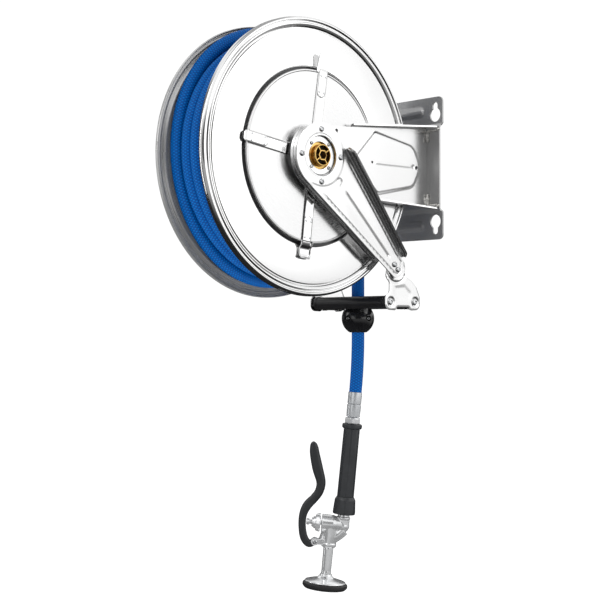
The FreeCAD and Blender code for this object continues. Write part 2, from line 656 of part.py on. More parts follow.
def build_ratchet(cover_face):
    """Ratchet wheel on the spring cover, with its pawl, pivot pin and spring on the far support arm."""
    teeth, thick = int(size("ratchet_teeth")), size("ratchet_thick")
    points = []
    for tooth in range(teeth):
        angle = 2 * math.pi * tooth / teeth - math.radians(8)
        for radius, lead in ((size("ratchet_tip"), -0.02), (size("ratchet_root"), 0.0)):
            points.append(drum_point(cover_face - thick, radius * math.cos(angle + lead),
                                     radius * math.sin(angle + lead)))
    wheel = plate_between(points, X_AXIS * thick)
    group("ratchet_wheel", [bore(wheel, drum_point(0, 0, 0), size("ratchet_bore"))])
    web_inner = -(size("web_outer") - size("web_thick"))
    pivot = (size("pawl_across"), size("pawl_up"))
    pin = size("pawl_pin_radius")
    shank = Part.makeCylinder(pin, cover_face - 0.8 - web_inner + 5, drum_point(web_inner - 5, *pivot), X_AXIS)
    collar = Part.makeCylinder(6, cover_face - thick - 0.1 - web_inner, drum_point(web_inner, *pivot), X_AXIS)
    group("pawl_pin", [shank.fuse(collar).removeSplitter()])
    heading = math.atan2(-pivot[1], -pivot[0]) + math.radians(size("pawl_lean"))
    length = size("pawl_length")
    blade = []
    for along, across in ((0, -5), (length - 2, -1.5), (length, -0.8), (length, 0.8), (length - 2, 2), (0, 5)):
        blade.append(drum_point(cover_face - thick,
                                pivot[0] + along * math.cos(heading) - across * math.sin(heading),
                                pivot[1] + along * math.sin(heading) + across * math.cos(heading)))
    pawl = plate_between(blade, X_AXIS * size("pawl_thick"))
    boss_at = drum_point(cover_face - thick, *pivot)
    pawl = pawl.fuse(Part.makeCylinder(size("pawl_boss"), size("pawl_thick"), boss_at, X_AXIS))
    group("pawl", [bore(pawl, drum_point(0, *pivot), pin + size("running_gap")).removeSplitter()])
    bend_radius, wire_radius = size("pawl_spring_bend"), size("pawl_spring_wire")
    wrap, leg = size("pawl_spring_wrap"), size("pawl_spring_leg")
    section = Part.Face(Part.Wire(Part.makeCircle(wire_radius, Vector(0, bend_radius, 0), Z_AXIS)))
    spring = section.revolve(Vector(0, 0, 0), X_AXIS, wrap)
    spring = spring.fuse(Part.makeCylinder(wire_radius, leg, Vector(0, bend_radius, 0), Z_AXIS * -1))
    turn = math.radians(wrap)
    bend_end = Vector(0, bend_radius * math.cos(turn), bend_radius * math.sin(turn))
    spring = spring.fuse(Part.makeCylinder(wire_radius, leg, bend_end, Vector(0, -math.sin(turn), math.cos(turn))))
    spring = spring.removeSplitter()
    spring.rotate(Vector(0, 0, 0), X_AXIS, math.degrees(heading) + 90)
    spring.translate(drum_point(web_inner + 2.5 * wire_radius, *pivot))
    group("pawl_spring", [spring])


# ---------------------------------------------------------------- hose, rollers and stop ball


def build_rollers():
    """Two long rollers on through pins and two short ones across the ends."""
    half_y = size("roller_spacing") / 2
    labels = (("room", -1), ("wall", 1))
    pins = []
    for label, side in labels:
        length, flare = size("roller_half"), size("roller_flare")
        body_radius = size("roller_radius")
        centre = drum_point(-length, size("hose_y") + side * half_y, size("roller_z"))
        solid = Part.makeCylinder(body_radius, 2 * length, centre, X_AXIS)
        for end in (-1, 1):
            tip = Vector(end * length, centre.y, centre.z)
            solid = solid.fuse(Part.makeCone(flare, body_radius, 6, tip, X_AXIS * -end))
        solid = bore(solid, Vector(0, centre.y, centre.z), size("roller_pin") + size("running_gap"))
        group("long_roller_" + label, [solid.removeSplitter()])
        reach = size("guide_outer") - size("web_thick")
        pin = Part.makeCylinder(size("roller_pin"), 2 * reach, Vector(-reach, centre.y, centre.z), X_AXIS)
        for end in (-1, 1):
            head = Part.makeCylinder(size("roller_pin") + 1.6, 2.6, Vector(end * reach, centre.y, centre.z),
                                     X_AXIS * end)
            pin = pin.fuse(head)
        pins.append(pin.removeSplitter())
    for label, side in (("near", 1), ("far", -1)):
        up = size("roller_z") - size("short_roller_drop")
        half = size("short_roller_half")
        centre = drum_point(side * size("short_roller_x"), size("hose_y"), up)
        base = centre - Y_AXIS * half
        solid = Part.makeCylinder(size("short_roller_radius"), 2 * half, base, Y_AXIS)
        solid = solid.cut(Part.makeCylinder(size("short_pin") + size("running_gap"), 2 * half, base, Y_AXIS))
        group("short_roller_" + label, [solid])
        pins.append(Part.makeCylinder(size("short_pin"), 2 * half + 6.6, base - Y_AXIS * 3.3, Y_AXIS))
    group("roller_pins", pins)


def hose_axis(z):
    return drum_point(size("hose_x"), size("hose_y"), z)


def view_right():
    """The level direction in the plane that the gun hangs in."""
    turn = math.radians(size("view_turn"))
    return Vector(math.cos(turn), math.sin(turn), 0)


def gun_frame(offset=0.0, drop=0.0):
    """Placement of the gun's own frame: X down the gun, Y across it towards the wall side."""
    tilt = math.radians(size("gun_tilt"))
    level = view_right()
    down = level * -math.sin(tilt) - Z_AXIS * math.cos(tilt)
    across = level * math.cos(tilt) - Z_AXIS * math.sin(tilt)
    start = hose_bend_end() + across * offset + down * drop
    return FreeCAD.Placement(start, FreeCAD.Rotation(down, across, Vector(), "XYZ"))


def bend_radius():
    return (size("hose_bend_z") - size("ferrule_z")) / math.sin(math.radians(size("gun_tilt")))


def hose_bend_end():
    side = bend_radius() * (1 - math.cos(math.radians(size("gun_tilt"))))
    return hose_axis(size("ferrule_z")) - view_right() * side


def build_hose():
    """Hose coil and runs: the wound bundle, the run down to the ball, and the tail below it."""
    half, start = "Sizes.disc_half_gap - 0.5", "Sizes.core_radius + 0.6"
    ring("hose_coil", "Sizes.drum_mid - (" + half + ")", "Sizes.drum_mid + " + half, start, "Sizes.coil_radius")
    ball_z = size("roller_z") - size("ball_drop")
    top = ball_z + size("ball_radius") + 1
    run = Part.makeCylinder(size("hose_radius"), size("hose_start") - top, hose_axis(top), Z_AXIS)
    group("hose_run", [run])
    half_bend = math.radians(size("gun_tilt") / 2)
    straight_end = hose_axis(size("hose_bend_z"))
    middle = straight_end - view_right() * (bend_radius() * (1 - math.cos(half_bend)))
    middle = middle - Z_AXIS * (bend_radius() * math.sin(half_bend))
    spine = [Part.LineSegment(hose_axis(top), straight_end).toShape(),
             Part.Arc(straight_end, middle, hose_bend_end()).toShape()]
    profile = Part.Wire(Part.makeCircle(size("hose_radius"), hose_axis(top), Z_AXIS))
    tail = Part.Wire(spine).makePipeShell([profile], True, False)
    group("hose_tail", [tail])


def build_ball():
    """Stop ball: two rubber halves clamped round the hose by two screws."""
    radius = size("ball_radius")
    centre = hose_axis(size("roller_z") - size("ball_drop"))
    level = view_right()
    facing = Vector(level.y, -level.x, 0)
    ball = Part.makeSphere(radius, centre, Z_AXIS, -90, 90, 360)
    below = centre - Z_AXIS * 2 * radius
    ball = ball.cut(Part.makeCylinder(size("hose_radius") + 0.02, 4 * radius, below, Z_AXIS))
    screws = []
    halves = {}
    for side, label in ((1, "front"), (-1, "back")):
        corner = Vector(-2 * radius, -2 * radius - 0.15, -2 * radius)
        box = Part.makeBox(4 * radius, 2 * radius, 4 * radius, corner)
        box.rotate(Vector(0, 0, 0), Z_AXIS, size("view_turn") + (0 if side > 0 else 180))
        box.translate(centre)
        halves[label] = ball.common(box)
    for side in (-1, 1):
        spot = centre + level * (side * 17)
        screw = Part.makeCylinder(2, 24, spot - facing * 12, facing)
        head = Part.makeCylinder(3.6, 3, spot + facing * 12, facing)
        screw = screw.fuse(head)
        hole = Part.makeCylinder(2.1, 24.3, spot - facing * 12.2, facing)
        head_hole = Part.makeCylinder(3.8, 30, spot + facing * 12, facing)
        for label in halves:
            halves[label] = halves[label].cut(hole).cut(head_hole)
        screws.append(screw.removeSplitter())
    for label in halves:
        group("stop_ball_" + label, [halves[label]])
    group("ball_screws", screws)


# ---------------------------------------------------------------- spray gun


def turned_gun(label, profile, offset=0.0):
    """A turned piece of the gun; its profile is (distance down the gun, radius) numbers."""
    corners = [(str(down), str(radius)) for down, radius in profile]
    return keep(turned(label, corners, gun_frame(offset)), label)


def local_group(label, shapes):
    return group(label, shapes, gun_frame())


def build_gun():
    """Hand spray gun: swivel joint, grip, valve body, plunger, squeeze lever and spray head."""
    turned_gun("hose_ferrule", [(0, 10.6), (0, 11.4), (19, 11.4), (20, 10.9), (21, 11.4), (40, 11.4),
                                (40, 7.4), (52, 7.4), (52, 5), (38, 5), (38, 10.6)])
    hexagon = [Vector(42.5, 14 * math.cos(a * math.pi / 3), 14 * math.sin(a * math.pi / 3)) for a in range(6)]
    nut = plate_between(hexagon, X_AXIS * 9.6)
    nut = nut.cut(Part.makeCylinder(7.5, 20, Vector(40, 0, 0), X_AXIS))
    local_group("swivel_nut", [nut])
    turned_gun("grip_collar", [(52.2, 8), (52.2, 15.4), (53.5, 16.5), (59.5, 16.5), (60.8, 15.4), (60.8, 8)])
    turned_gun("gun_tube", [(53, 4.5), (53, 7.9), (205, 7.9), (205, 4.5)])
    turned_gun("gun_grip", [(60.9, 8), (60.9, 13.2), (173.5, 13.6), (173.5, 8)])
    turned_gun("grip_cap", [(173.6, 8), (173.6, 14), (180, 17.8), (202.5, 18.6), (202.5, 8)])
    build_gun_body()
    build_gun_lever()
    turned_gun("spray_tube", [(259.2, 3), (259.2, 8.4), (303, 8.4), (303, 3)], size("gun_offset"))
    turned_gun("spray_head", [(303.1, 3), (303.1, 9.5), (308, 11), (312, 21), (315, 32.5), (317, 34), (317, 3)],
               size("gun_offset"))
    turned_gun("spray_head_ring", [(317.1, 12), (317.1, 34.2), (319, 37.2), (323, 37.2), (327.5, 34), (327.5, 12)],
               size("gun_offset"))


def build_gun_body():
    """Chrome valve body: an elbow under the grip, a cross chamber and the outlet boss beside it."""
    low = size("gun_offset")
    body = Part.makeCylinder(9.5, 20, Vector(203, 0, 0), X_AXIS)
    body = body.fuse(Part.makeSphere(11.0, Vector(221, 0, 0)))
    body = body.fuse(Part.makeCylinder(14, 34, Vector(220, -37, 0), Y_AXIS))
    body = body.fuse(Part.makeCone(13.5, 10.5, 38, Vector(221, low, 0), X_AXIS))
    ears = []
    for side in (-1, 1):
        ear = Part.makeCylinder(6, 3, Vector(251.5, -43.7, side * 5.6 - (3 if side < 0 else 0)), Z_AXIS)
        arm = Part.makeBox(10, 16, 3, Vector(246.5, -43.7, side * 5.6 - (3 if side < 0 else 0)))
        ears.append(ear.fuse(arm))
    body = body.fuse(ears)
    body = body.cut(Part.makeCylinder(7.95, 3, Vector(202, 0, 0), X_AXIS))
    body = body.cut(Part.makeCylinder(5, 40, Vector(220, -38, 0), Y_AXIS))
    body = body.cut(Part.makeCylinder(4.5, 18, Vector(202, 0, 0), X_AXIS))
    body = body.cut(Part.makeCylinder(4.5, 40, Vector(221, low, 0), X_AXIS))
    body = body.cut(Part.makeCylinder(2.05, 60, Vector(251.5, -43.7, -30), Z_AXIS))
    local_group("valve_body", [body.removeSplitter()])
    bonnet = Part.makeCone(13.6, 10, 12, Vector(220, -37.1, 0), Y_AXIS * -1)
    bonnet = bonnet.cut(Part.makeCylinder(3.65, 30, Vector(220, -60, 0), Y_AXIS))
    local_group("valve_bonnet", [bonnet])
    plunger = Part.makeCylinder(3.6, 48, Vector(220, -59.6, 0), Y_AXIS)
    plunger = plunger.fuse(Part.makeCylinder(5.2, 4.5, Vector(220, -59.6, 0), Y_AXIS))
    local_group("valve_plunger", [plunger.removeSplitter()])
    helix = Part.makeHelix(1.8, 6.6, 3.8)
    profile = Part.Wire(Part.makeCircle(0.5, Vector(3.8, 0, 0), Y_AXIS))
    spring = Part.Wire(helix.Edges).makePipeShell([profile], True, True)
    spring.rotate(Vector(0, 0, 0), X_AXIS, -90)
    spring.translate(Vector(220, -5.4, 0))
    local_group("valve_spring", [spring])
    pin = Part.makeCylinder(2, 18.6, Vector(251.5, -43.7, -9.3), Z_AXIS)
    local_group("lever_pin", [pin])


def build_gun_lever():
    """Squeeze lever: a swept bar that runs from its pivot round the plunger and up beside the grip."""
    spine = [(251.5, -43.7), (256.5, -54), (246, -62.5), (226, -67.3), (208, -67.6), (193, -61),
             (172, -44.5), (153, -42.5), (130, -50), (104, -57.5), (92, -60.6)]
    half_widths = [5.6, 6.4, 6.6, 6.5, 6.9, 7.6, 7.0, 7.6, 8.4, 8.0, 5.0]
    curve = Part.BSplineCurve()
    curve.interpolate([Vector(down, across, 0) for down, across in spine])
    left, right = [], []
    count = len(spine)
    for number, half_width in enumerate(half_widths):
        spot = Vector(*spine[number], 0)
        tangent = curve.tangent(curve.parameter(spot))[0]
        normal = Vector(-tangent.y, tangent.x, 0).normalize() * half_width
        left.append(spot + normal)
        right.append(spot - normal)
    sides = []
    for points in (left, right):
        side = Part.BSplineCurve()
        side.interpolate(points)
        sides.append(side)
    tip = Vector(86.5, -61.8, 0)
    root = Vector(249, -38.5, 0)
    edges = [sides[0].toShape(), sides[1].toShape(),
             Part.Arc(left[count - 1], tip, right[count - 1]).toShape(),
             Part.Arc(left[0], root, right[0]).toShape()]
    face = Part.Face(Part.Wire(Part.__sortEdges__(edges)))
    lever = face.extrude(Z_AXIS * 11)
    lever.translate(Vector(0, 0, -5.5))
    lever = lever.cut(Part.makeCylinder(2.06, 40, Vector(251.5, -43.7, -20), Z_AXIS))
    local_group("gun_lever", [lever])


# ---------------------------------------------------------------- build, check and write


def check_and_write():
    document.recompute()
    for item in document.Objects:
        if "Invalid" in item.State or "Error" in item.State:
            raise RuntimeError("%s failed to build: %s" % (item.Label, item.State))
    for item in nodes:
        if item.Shape.isNull() or not item.Shape.isValid() or not item.Shape.Solids:
            raise RuntimeError("%s has no valid solid" % item.Label)
    os.makedirs("parts", exist_ok=True)
    for item in nodes:
        item.Shape.exportStep(os.path.join("parts", item.Label + ".step"))


build_bracket()
build_hub()
build_inlet()
build_stem()
build_discs()
build_core()
build_straps()
build_spring_side()
build_rollers()
build_hose()
build_ball()
build_gun()
check_and_write()
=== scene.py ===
import json
import math
import random

import bmesh
import bpy
import numpy as np
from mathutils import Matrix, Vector, geometry


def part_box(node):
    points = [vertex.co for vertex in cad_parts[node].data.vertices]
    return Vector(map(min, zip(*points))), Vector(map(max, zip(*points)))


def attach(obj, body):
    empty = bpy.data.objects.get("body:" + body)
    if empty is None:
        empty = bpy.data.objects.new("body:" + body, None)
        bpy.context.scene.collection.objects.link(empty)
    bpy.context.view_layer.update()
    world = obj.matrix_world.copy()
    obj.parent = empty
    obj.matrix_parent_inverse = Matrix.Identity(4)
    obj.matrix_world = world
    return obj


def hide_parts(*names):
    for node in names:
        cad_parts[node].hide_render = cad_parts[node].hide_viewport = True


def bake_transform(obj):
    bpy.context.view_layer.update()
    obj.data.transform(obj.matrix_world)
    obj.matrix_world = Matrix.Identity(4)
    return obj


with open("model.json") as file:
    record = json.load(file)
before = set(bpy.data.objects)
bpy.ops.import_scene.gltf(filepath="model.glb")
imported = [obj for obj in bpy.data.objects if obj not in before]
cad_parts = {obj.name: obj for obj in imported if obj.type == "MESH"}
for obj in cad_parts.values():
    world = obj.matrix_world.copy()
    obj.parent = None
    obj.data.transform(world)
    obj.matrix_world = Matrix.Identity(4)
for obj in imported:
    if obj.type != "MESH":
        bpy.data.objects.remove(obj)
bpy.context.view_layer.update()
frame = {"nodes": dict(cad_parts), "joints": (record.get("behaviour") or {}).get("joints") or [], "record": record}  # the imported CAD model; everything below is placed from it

MM = 0.001
SHARP = math.radians(32)
random.seed(7)

# ---------------------------------------------------------------- places read from the frame


def middle(node):
    low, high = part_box(node)
    return (low + high) / 2


DISC_LOW, DISC_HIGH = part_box("drum_disc_near")
FAR_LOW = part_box("drum_disc_far")[0]
AXIS_Y = (DISC_LOW.y + DISC_HIGH.y) / 2
DRUM_MID = (DISC_HIGH.x + FAR_LOW.x) / 2
JOINTS = {joint["name"]: joint for joint in frame["joints"]}
GUN_DOWN = Vector(JOINTS["gun_swivel"]["axis"]).normalized()
GUN_FACING = Vector(JOINTS["lever_squeeze"]["axis"]).normalized()
GUN_ACROSS = GUN_FACING.cross(GUN_DOWN).normalized()
GUN_START = Vector(JOINTS["gun_swivel"]["pos_m"]) - GUN_DOWN * 0.056
BALL = (middle("stop_ball_front") + middle("stop_ball_back")) / 2
HOSE_RADIUS = (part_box("hose_run")[1].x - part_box("hose_run")[0].x) / 2

# Places that several pieces share, in mm from the drum's axle; across runs towards the wall.
TIP_ACROSS, TIP_UP = 165.0, -167.0  # round tip of the guide arms
GUIDE_LENGTH = math.hypot(TIP_ACROSS, TIP_UP)
GUIDE_HEADING = math.atan2(TIP_UP, TIP_ACROSS)
RUN_X, RUN_ACROSS = -15.5, 180.5  # the hose run, which hangs between the rollers
LONG_ROLLER_SIDE, LONG_ROLLER_UP = 28.0, -221.5
SHORT_ROLLER_X, SHORT_ROLLER_UP = 76.0, -226.5

# Places on the spray gun, in mm down it and across it.
VALVE_DOWN = 220
LEVER_PIVOT = (251.5, -43.7)
SPRAY_ACROSS = -20.0

# ---------------------------------------------------------------- node materials


def add_node(tree, kind, inputs=None, **settings):
    """A shader node in a tree; a socket or a plain value can feed any input."""
    made = tree.nodes.new("ShaderNode" + kind)
    for name, value in settings.items():
        setattr(made, name, value)
    for name, value in (inputs or {}).items():
        socket = made.inputs[name]
        if isinstance(value, bpy.types.NodeSocket):
            tree.links.new(value, socket)
        else:
            socket.default_value = value
    return made


class Graph:
    """Builds one material's nodes."""

    def __init__(self, name):
        self.material = bpy.data.materials.new(name)
        self.material.use_nodes = True
        self.tree = self.material.node_tree
        self.tree.nodes.clear()
        self.output = self.tree.nodes.new("ShaderNodeOutputMaterial")

    def node(self, kind, inputs=None, **settings):
        return add_node(self.tree, kind, inputs, **settings)

    def math(self, operation, first, second=0.0):
        return self.node("Math", {0: first, 1: second}, operation=operation).outputs[0]

    def ramp(self, value, stops):
        made = self.node("ValToRGB", {"Fac": value})
        band = made.color_ramp
        while len(band.elements) < len(stops):
            band.elements.new(0.5)
        for element, (place, colour) in zip(band.elements, stops):
            element.position = place
            element.color = colour if len(colour) == 4 else (*colour, 1)
        return made.outputs["Color"]

    def mix(self, share, first, second):
        made = self.node("Mix", {0: share, 6: first, 7: second}, data_type="RGBA")
        return made.outputs[2]

    def noise(self, vector, scale, detail=4.0, rough=0.55):
        inputs = {"Vector": vector, "Scale": scale, "Detail": detail, "Roughness": rough}
        return self.node("TexNoise", inputs).outputs["Fac"]

    def bump(self, height, strength, distance):
        inputs = {"Height": height, "Strength": strength, "Distance": distance}
        return self.node("Bump", inputs).outputs["Normal"]

    def finish(self, **inputs):
        named = {key.replace("_", " "): value for key, value in inputs.items()}
        shader = self.node("BsdfPrincipled", named)
        self.tree.links.new(shader.outputs[0], self.output.inputs[0])
        return self.material


def grey(level):
    return (level, level, level, 1.0)


def steel(name, tone=0.82, rough=0.16, grain=(1.0, 1.0, 60.0), depth=0.15, smudge=0.06, metal=1.0):
    """Stainless sheet: fine grain stretched one way, faint smudges in its gloss."""
    g = Graph(name)
    place = g.node("TexCoord").outputs["Object"]
    stretched = g.node("Mapping", {"Vector": place, "Scale": tuple(40 * part for part in grain)}).outputs[0]
    lines = g.noise(stretched, 6.0, 6.0)
    clouds = g.noise(place, 9.0, 3.0)
    gloss = g.math("ADD", g.math("MULTIPLY", clouds, smudge * 2), rough - smudge)
    gloss = g.math("ADD", gloss, g.math("MULTIPLY", lines, 0.08))
    colour = g.ramp(clouds, [(0.3, grey(tone * 0.95)), (0.7, grey(tone))])
    normal = g.bump(lines, depth, 0.0002)
    return g.finish(Base_Color=colour, Metallic=metal, Roughness=gloss, Normal=normal)


def spun_steel(name, tone=0.86, rough=0.1, metal=1.0):
    """Turned stainless disc: fine rings about the drum's axle."""
    g = Graph(name)
    place = g.node("TexCoord").outputs["Object"]
    parts = g.node("SeparateXYZ", {"Vector": place})
    across = g.math("SUBTRACT", parts.outputs["Y"], AXIS_Y)
    up = parts.outputs["Z"]
    radius = g.math("SQRT", g.math("ADD", g.math("MULTIPLY", across, across), g.math("MULTIPLY", up, up)))
    turn = g.math("ARCTAN2", up, across)
    flat = {"X": g.math("MULTIPLY", radius, 900.0), "Y": g.math("MULTIPLY", turn, 1.5)}
    rings_at = g.node("CombineXYZ", flat)
    rings = g.noise(rings_at.outputs[0], 1.0, 5.0, 0.6)
    clouds = g.noise(place, 7.0, 3.0)
    gloss = g.math("ADD", g.math("MULTIPLY", rings, 0.07), rough - 0.03)
    gloss = g.math("ADD", gloss, g.math("MULTIPLY", clouds, 0.06))
    colour = g.ramp(clouds, [(0.3, grey(tone * 0.96)), (0.7, grey(tone))])
    return g.finish(Base_Color=colour, Metallic=metal, Roughness=gloss, Normal=g.bump(rings, 0.06, 0.0002))


def plain_metal(name, colour, rough=0.2, grain=260.0, depth=0.12, spots=0.08, metal=1.0):
    """Cast, plated or machined metal with a fine random grain and faint uneven gloss."""
    g = Graph(name)
    place = g.node("TexCoord").outputs["Object"]
    fine = g.noise(place, grain, 4.0)
    clouds = g.noise(place, 30.0, 3.0)
    dark = tuple(part * 0.86 for part in colour) + (1,)
    tone = g.ramp(clouds, [(0.35, dark), (0.65, (*colour, 1))])
    gloss = g.math("ADD", g.math("MULTIPLY", clouds, spots), rough)
    return g.finish(Base_Color=tone, Metallic=metal, Roughness=gloss, Normal=g.bump(fine, depth, 0.0001))


def moulded(name, colour, rough=0.4, grain=900.0, depth=0.2, coat=0.0, tint=0.25):
    """Moulded plastic or rubber: fine pebble grain, faint scuffs and uneven gloss."""
    g = Graph(name)
    place = g.node("TexCoord").outputs["Object"]
    pebble = g.noise(place, grain, 3.0)
    scuff = g.noise(place, 45.0, 6.0, 0.7)
    light = tuple(min(1.0, part * (1 + tint) + 0.004) for part in colour) + (1,)
    tone = g.ramp(scuff, [(0.4, (*colour, 1)), (0.75, light)])
    gloss = g.math("ADD", g.math("MULTIPLY", scuff, 0.16), rough - 0.06)
    normal = g.bump(pebble, depth, 0.00015)
    return g.finish(Base_Color=tone, Roughness=gloss, Normal=normal, Coat_Weight=coat, Coat_Roughness=0.08)


def braided_hose(name, colour, dark, light):
    """Blue hose cover: the textile braid under it shows as fine crossing diagonals. Uses the tube's UVs."""
    g = Graph(name)
    parts = g.node("SeparateXYZ", {"Vector": g.node("TexCoord").outputs["UV"]})
    along, around = parts.outputs["X"], parts.outputs["Y"]
    strand = 0.0046
    turn = 2 * math.pi
    waves = []
    for direction in (1, -1):
        phase = g.math("ADD", g.math("MULTIPLY", along, turn / strand),
                       g.math("MULTIPLY", around, direction * turn * 8))
        waves.append(g.math("MULTIPLY", g.math("ADD", g.math("SINE", phase), 1.0), 0.5))
    weave = g.math("MULTIPLY", waves[0], waves[1])
    place = g.node("TexCoord").outputs["Object"]
    dirt = g.noise(place, 60.0, 5.0, 0.65)
    ribs = g.math("ADD", g.math("MULTIPLY", weave, 0.8), g.math("MULTIPLY", dirt, 0.2))
    tone = g.ramp(ribs, [(0.0, (*dark, 1)), (0.35, (*colour, 1)), (0.95, (*light, 1))])
    gloss = g.math("ADD", g.math("MULTIPLY", dirt, 0.2), 0.36)
    # painted reflection: seen in glossy rays the hose colour is painted near-black, so its mirror images on
    # nearby steel show dark instead of blue
    mirrored = g.math("MULTIPLY", g.node("LightPath").outputs["Is Glossy Ray"], 0.92)
    tone = g.mix(mirrored, tone, grey(0.07))
    normal = g.bump(weave, 0.35, 0.0004)
    return g.finish(Base_Color=tone, Roughness=gloss, Normal=normal, Specular_IOR_Level=0.12)


def make_materials():
    return {
        "sheet": steel("brushed_sheet", 0.84, 0.13, (1.0, 0.08, 1.0), 0.05),
        "plate": steel("wall_plate_sheet", 0.5, 0.3, (0.06, 1.0, 1.0), 0.12, metal=0.72),
        "spun": spun_steel("spun_disc"),
        "spun_far": spun_steel("spun_disc_shaded", 0.62, 0.24, 0.68),
        "cap": spun_steel("spun_cap", 0.745, 0.24),
        "arm": steel("arm_sheet", 0.84, 0.2, (1.0, 0.08, 1.0), 0.05),
        "bright": steel("bright_strip", 0.88, 0.1, (1.0, 1.0, 0.1), 0.04),
        "machined": plain_metal("machined_steel", (0.62, 0.63, 0.64), 0.24),
        "screw": plain_metal("screw_steel", (0.8, 0.81, 0.82), 0.14),
        "spring": plain_metal("spring_steel", (0.3, 0.31, 0.33), 0.3),
        "case": moulded("case_enamel", (0.03, 0.03, 0.033), 0.3, coat=0.3),
        "brass": plain_metal("machined_brass", (0.78, 0.5, 0.16), 0.16),
        "seal": moulded("seal_rubber", (0.012, 0.012, 0.013), 0.5),
        "bush": moulded("bush_plastic", (0.8, 0.79, 0.72), 0.4),
        "hose": braided_hose("hose_cover", (0.0, 0.115, 0.44), (0.0, 0.05, 0.24), (0.0, 0.2, 0.66)),
        # painted shade: the hanging run takes a slightly darker copy of the same hose cover
        "hose_shaded": braided_hose("hose_cover_hanging_shaded", (0.0, 0.105, 0.42), (0.0, 0.045, 0.22),
                                 (0.0, 0.19, 0.62)),
        "roller": moulded("roller_plastic", (0.008, 0.008, 0.009), 0.34),
        "ball": moulded("ball_rubber", (0.006, 0.006, 0.007), 0.16, depth=0.05, coat=0.5),
        "ferrule": plain_metal("zinc_plate", (0.72, 0.74, 0.76), 0.22, depth=0.015, metal=0.64),
        "chrome": plain_metal("gun_chrome", (0.93, 0.94, 0.95), 0.06, depth=0.004, spots=0.03, metal=0.66),
        "grip": moulded("grip_plastic", (0.022, 0.024, 0.027), 0.32, grain=700.0),
        "lever": moulded("lever_coating", (0.02, 0.022, 0.024), 0.36, grain=500.0),
        "weld": plain_metal("weld_bead", (0.85, 0.84, 0.81), 0.4, grain=900.0, depth=0.6),
    }


MAT = make_materials()
SLOT_MATERIALS = {
    "stainless_brushed": "sheet", "stainless_bright": "bright", "machined_steel": "machined",
    "steel_screws": "screw", "spring_steel": "spring", "spring_case_steel": "case", "brass": "brass",
    "seal_rubber": "seal", "bush_plastic": "bush", "hose_blue": "hose", "roller_plastic": "roller",
    "ball_rubber": "ball", "zinc_ferrule": "ferrule", "gun_chrome": "chrome", "grip_rubber": "grip",
    "lever_coating": "lever",
}


FINISH_OF = {material: slot for slot, material in SLOT_MATERIALS.items()}
FINISH_OF.update({
    "plate": "stainless_brushed", "arm": "stainless_brushed", "spun": "stainless_bright",
    "spun_far": "stainless_bright", "cap": "stainless_bright", "hose_shaded": "hose_blue",
    "weld": "machined_steel",
})


def dress_cad_nodes():
    """Every carried-over CAD node gets the material of its slot."""
    for entry in frame["record"]["subparts"]:
        item = frame["nodes"][entry["node"]]
        material = MAT[SLOT_MATERIALS[entry["material_slot"]]]
        item.data.materials.clear()
        item.data.materials.append(material)


# ---------------------------------------------------------------- mesh helpers


def placed(name, mesh, material, body, stands_for=()):
    """Puts a mesh in the scene with its material, the body it rides on and the nodes it stands for."""
    mesh.materials.append(MAT[material])
    item = bpy.data.objects.new(name, mesh)
    bpy.context.scene.collection.objects.link(item)
    if body:
        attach(item, body)
    if stands_for:
        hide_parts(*stands_for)
    return item


def make_piece(name, verts, faces, material, body, stands_for=(), smooth=True):
    """A mesh object from arrays of points and faces, riding on a body."""
    mesh = bpy.data.meshes.new(name)
    mesh.from_pydata([tuple(v) for v in verts], [], [tuple(int(i) for i in face) for face in faces])
    work = bmesh.new()
    work.from_mesh(mesh)
    bmesh.ops.remove_doubles(work, verts=work.verts, dist=1e-6)
    bmesh.ops.recalc_face_normals(work, faces=work.faces)
    work.to_mesh(mesh)
    work.free()
    mesh.polygons.foreach_set("use_smooth", [smooth] * len(mesh.polygons))
    if smooth:
        mesh.set_sharp_from_angle(angle=SHARP)
    return placed(name, mesh, material, body, stands_for)


def rounded_path(corners, closed=False, steps=5):
    """A polyline whose corners are arcs; each corner is (x, y) or (x, y, radius)."""
    count = len(corners)
    path = []
    for index, corner in enumerate(corners):
        here = np.array(corner[:2], float)
        radius = corner[2] if len(corner) > 2 else 0.0
        ends = not closed and index in (0, count - 1)
        if radius <= 0 or ends:
            path.append(here)
            continue
        before = np.array(corners[index - 1][:2], float) - here
        after = np.array(corners[(index + 1) % count][:2], float) - here
        before_length, after_length = np.linalg.norm(before), np.linalg.norm(after)
        before, after = before / before_length, after / after_length
        angle = math.acos(max(-1.0, min(1.0, float(before @ after))))
        cut = min(radius / math.tan(angle / 2), before_length * 0.49, after_length * 0.49)
        bend = cut * math.tan(angle / 2)
        centre = here + (before + after) / np.linalg.norm(before + after) * (bend / math.sin(angle / 2))
        start, stop = here + before * cut - centre, here + after * cut - centre
        first = math.atan2(start[1], start[0])
        sweep = (math.atan2(stop[1], stop[0]) - first + math.pi) % (2 * math.pi) - math.pi
        for step in range(steps + 1):
            turn = first + sweep * step / steps
            path.append(centre + bend * np.array([math.cos(turn), math.sin(turn)]))
    return path


def axes_about(axis):
    """Two directions square to an axis."""
    axis = Vector(axis).normalized()
    side = Vector((0, 0, 1)) if abs(axis.z) < 0.9 else Vector((1, 0, 0))
    first = side.cross(axis).normalized()
    return first, axis.cross(first)


def ring_faces(rings, sectors, wrap=False, start=0):
    """Quads between closed rings of points; wrap also joins the last ring to the first."""
    faces = []
    for ring in range(rings if wrap else rings - 1):
        here, after = start + ring * sectors, start + (ring + 1) % rings * sectors
        for sector in range(sectors):
            beside = (sector + 1) % sectors
            faces.append((here + sector, here + beside, after + beside, after + sector))
    return faces


def add_prism(verts, faces, low_end, high_end):
    """Adds a prism between two end loops to a list of points and a list of faces."""
    start, count = len(verts), len(low_end)
    verts += low_end + high_end
    faces.append(tuple(start + i for i in range(count)))
    faces.append(tuple(start + count + i for i in reversed(range(count))))
    for i in range(count):
        j = (i + 1) % count
        faces.append((start + i, start + count + i, start + count + j, start + j))


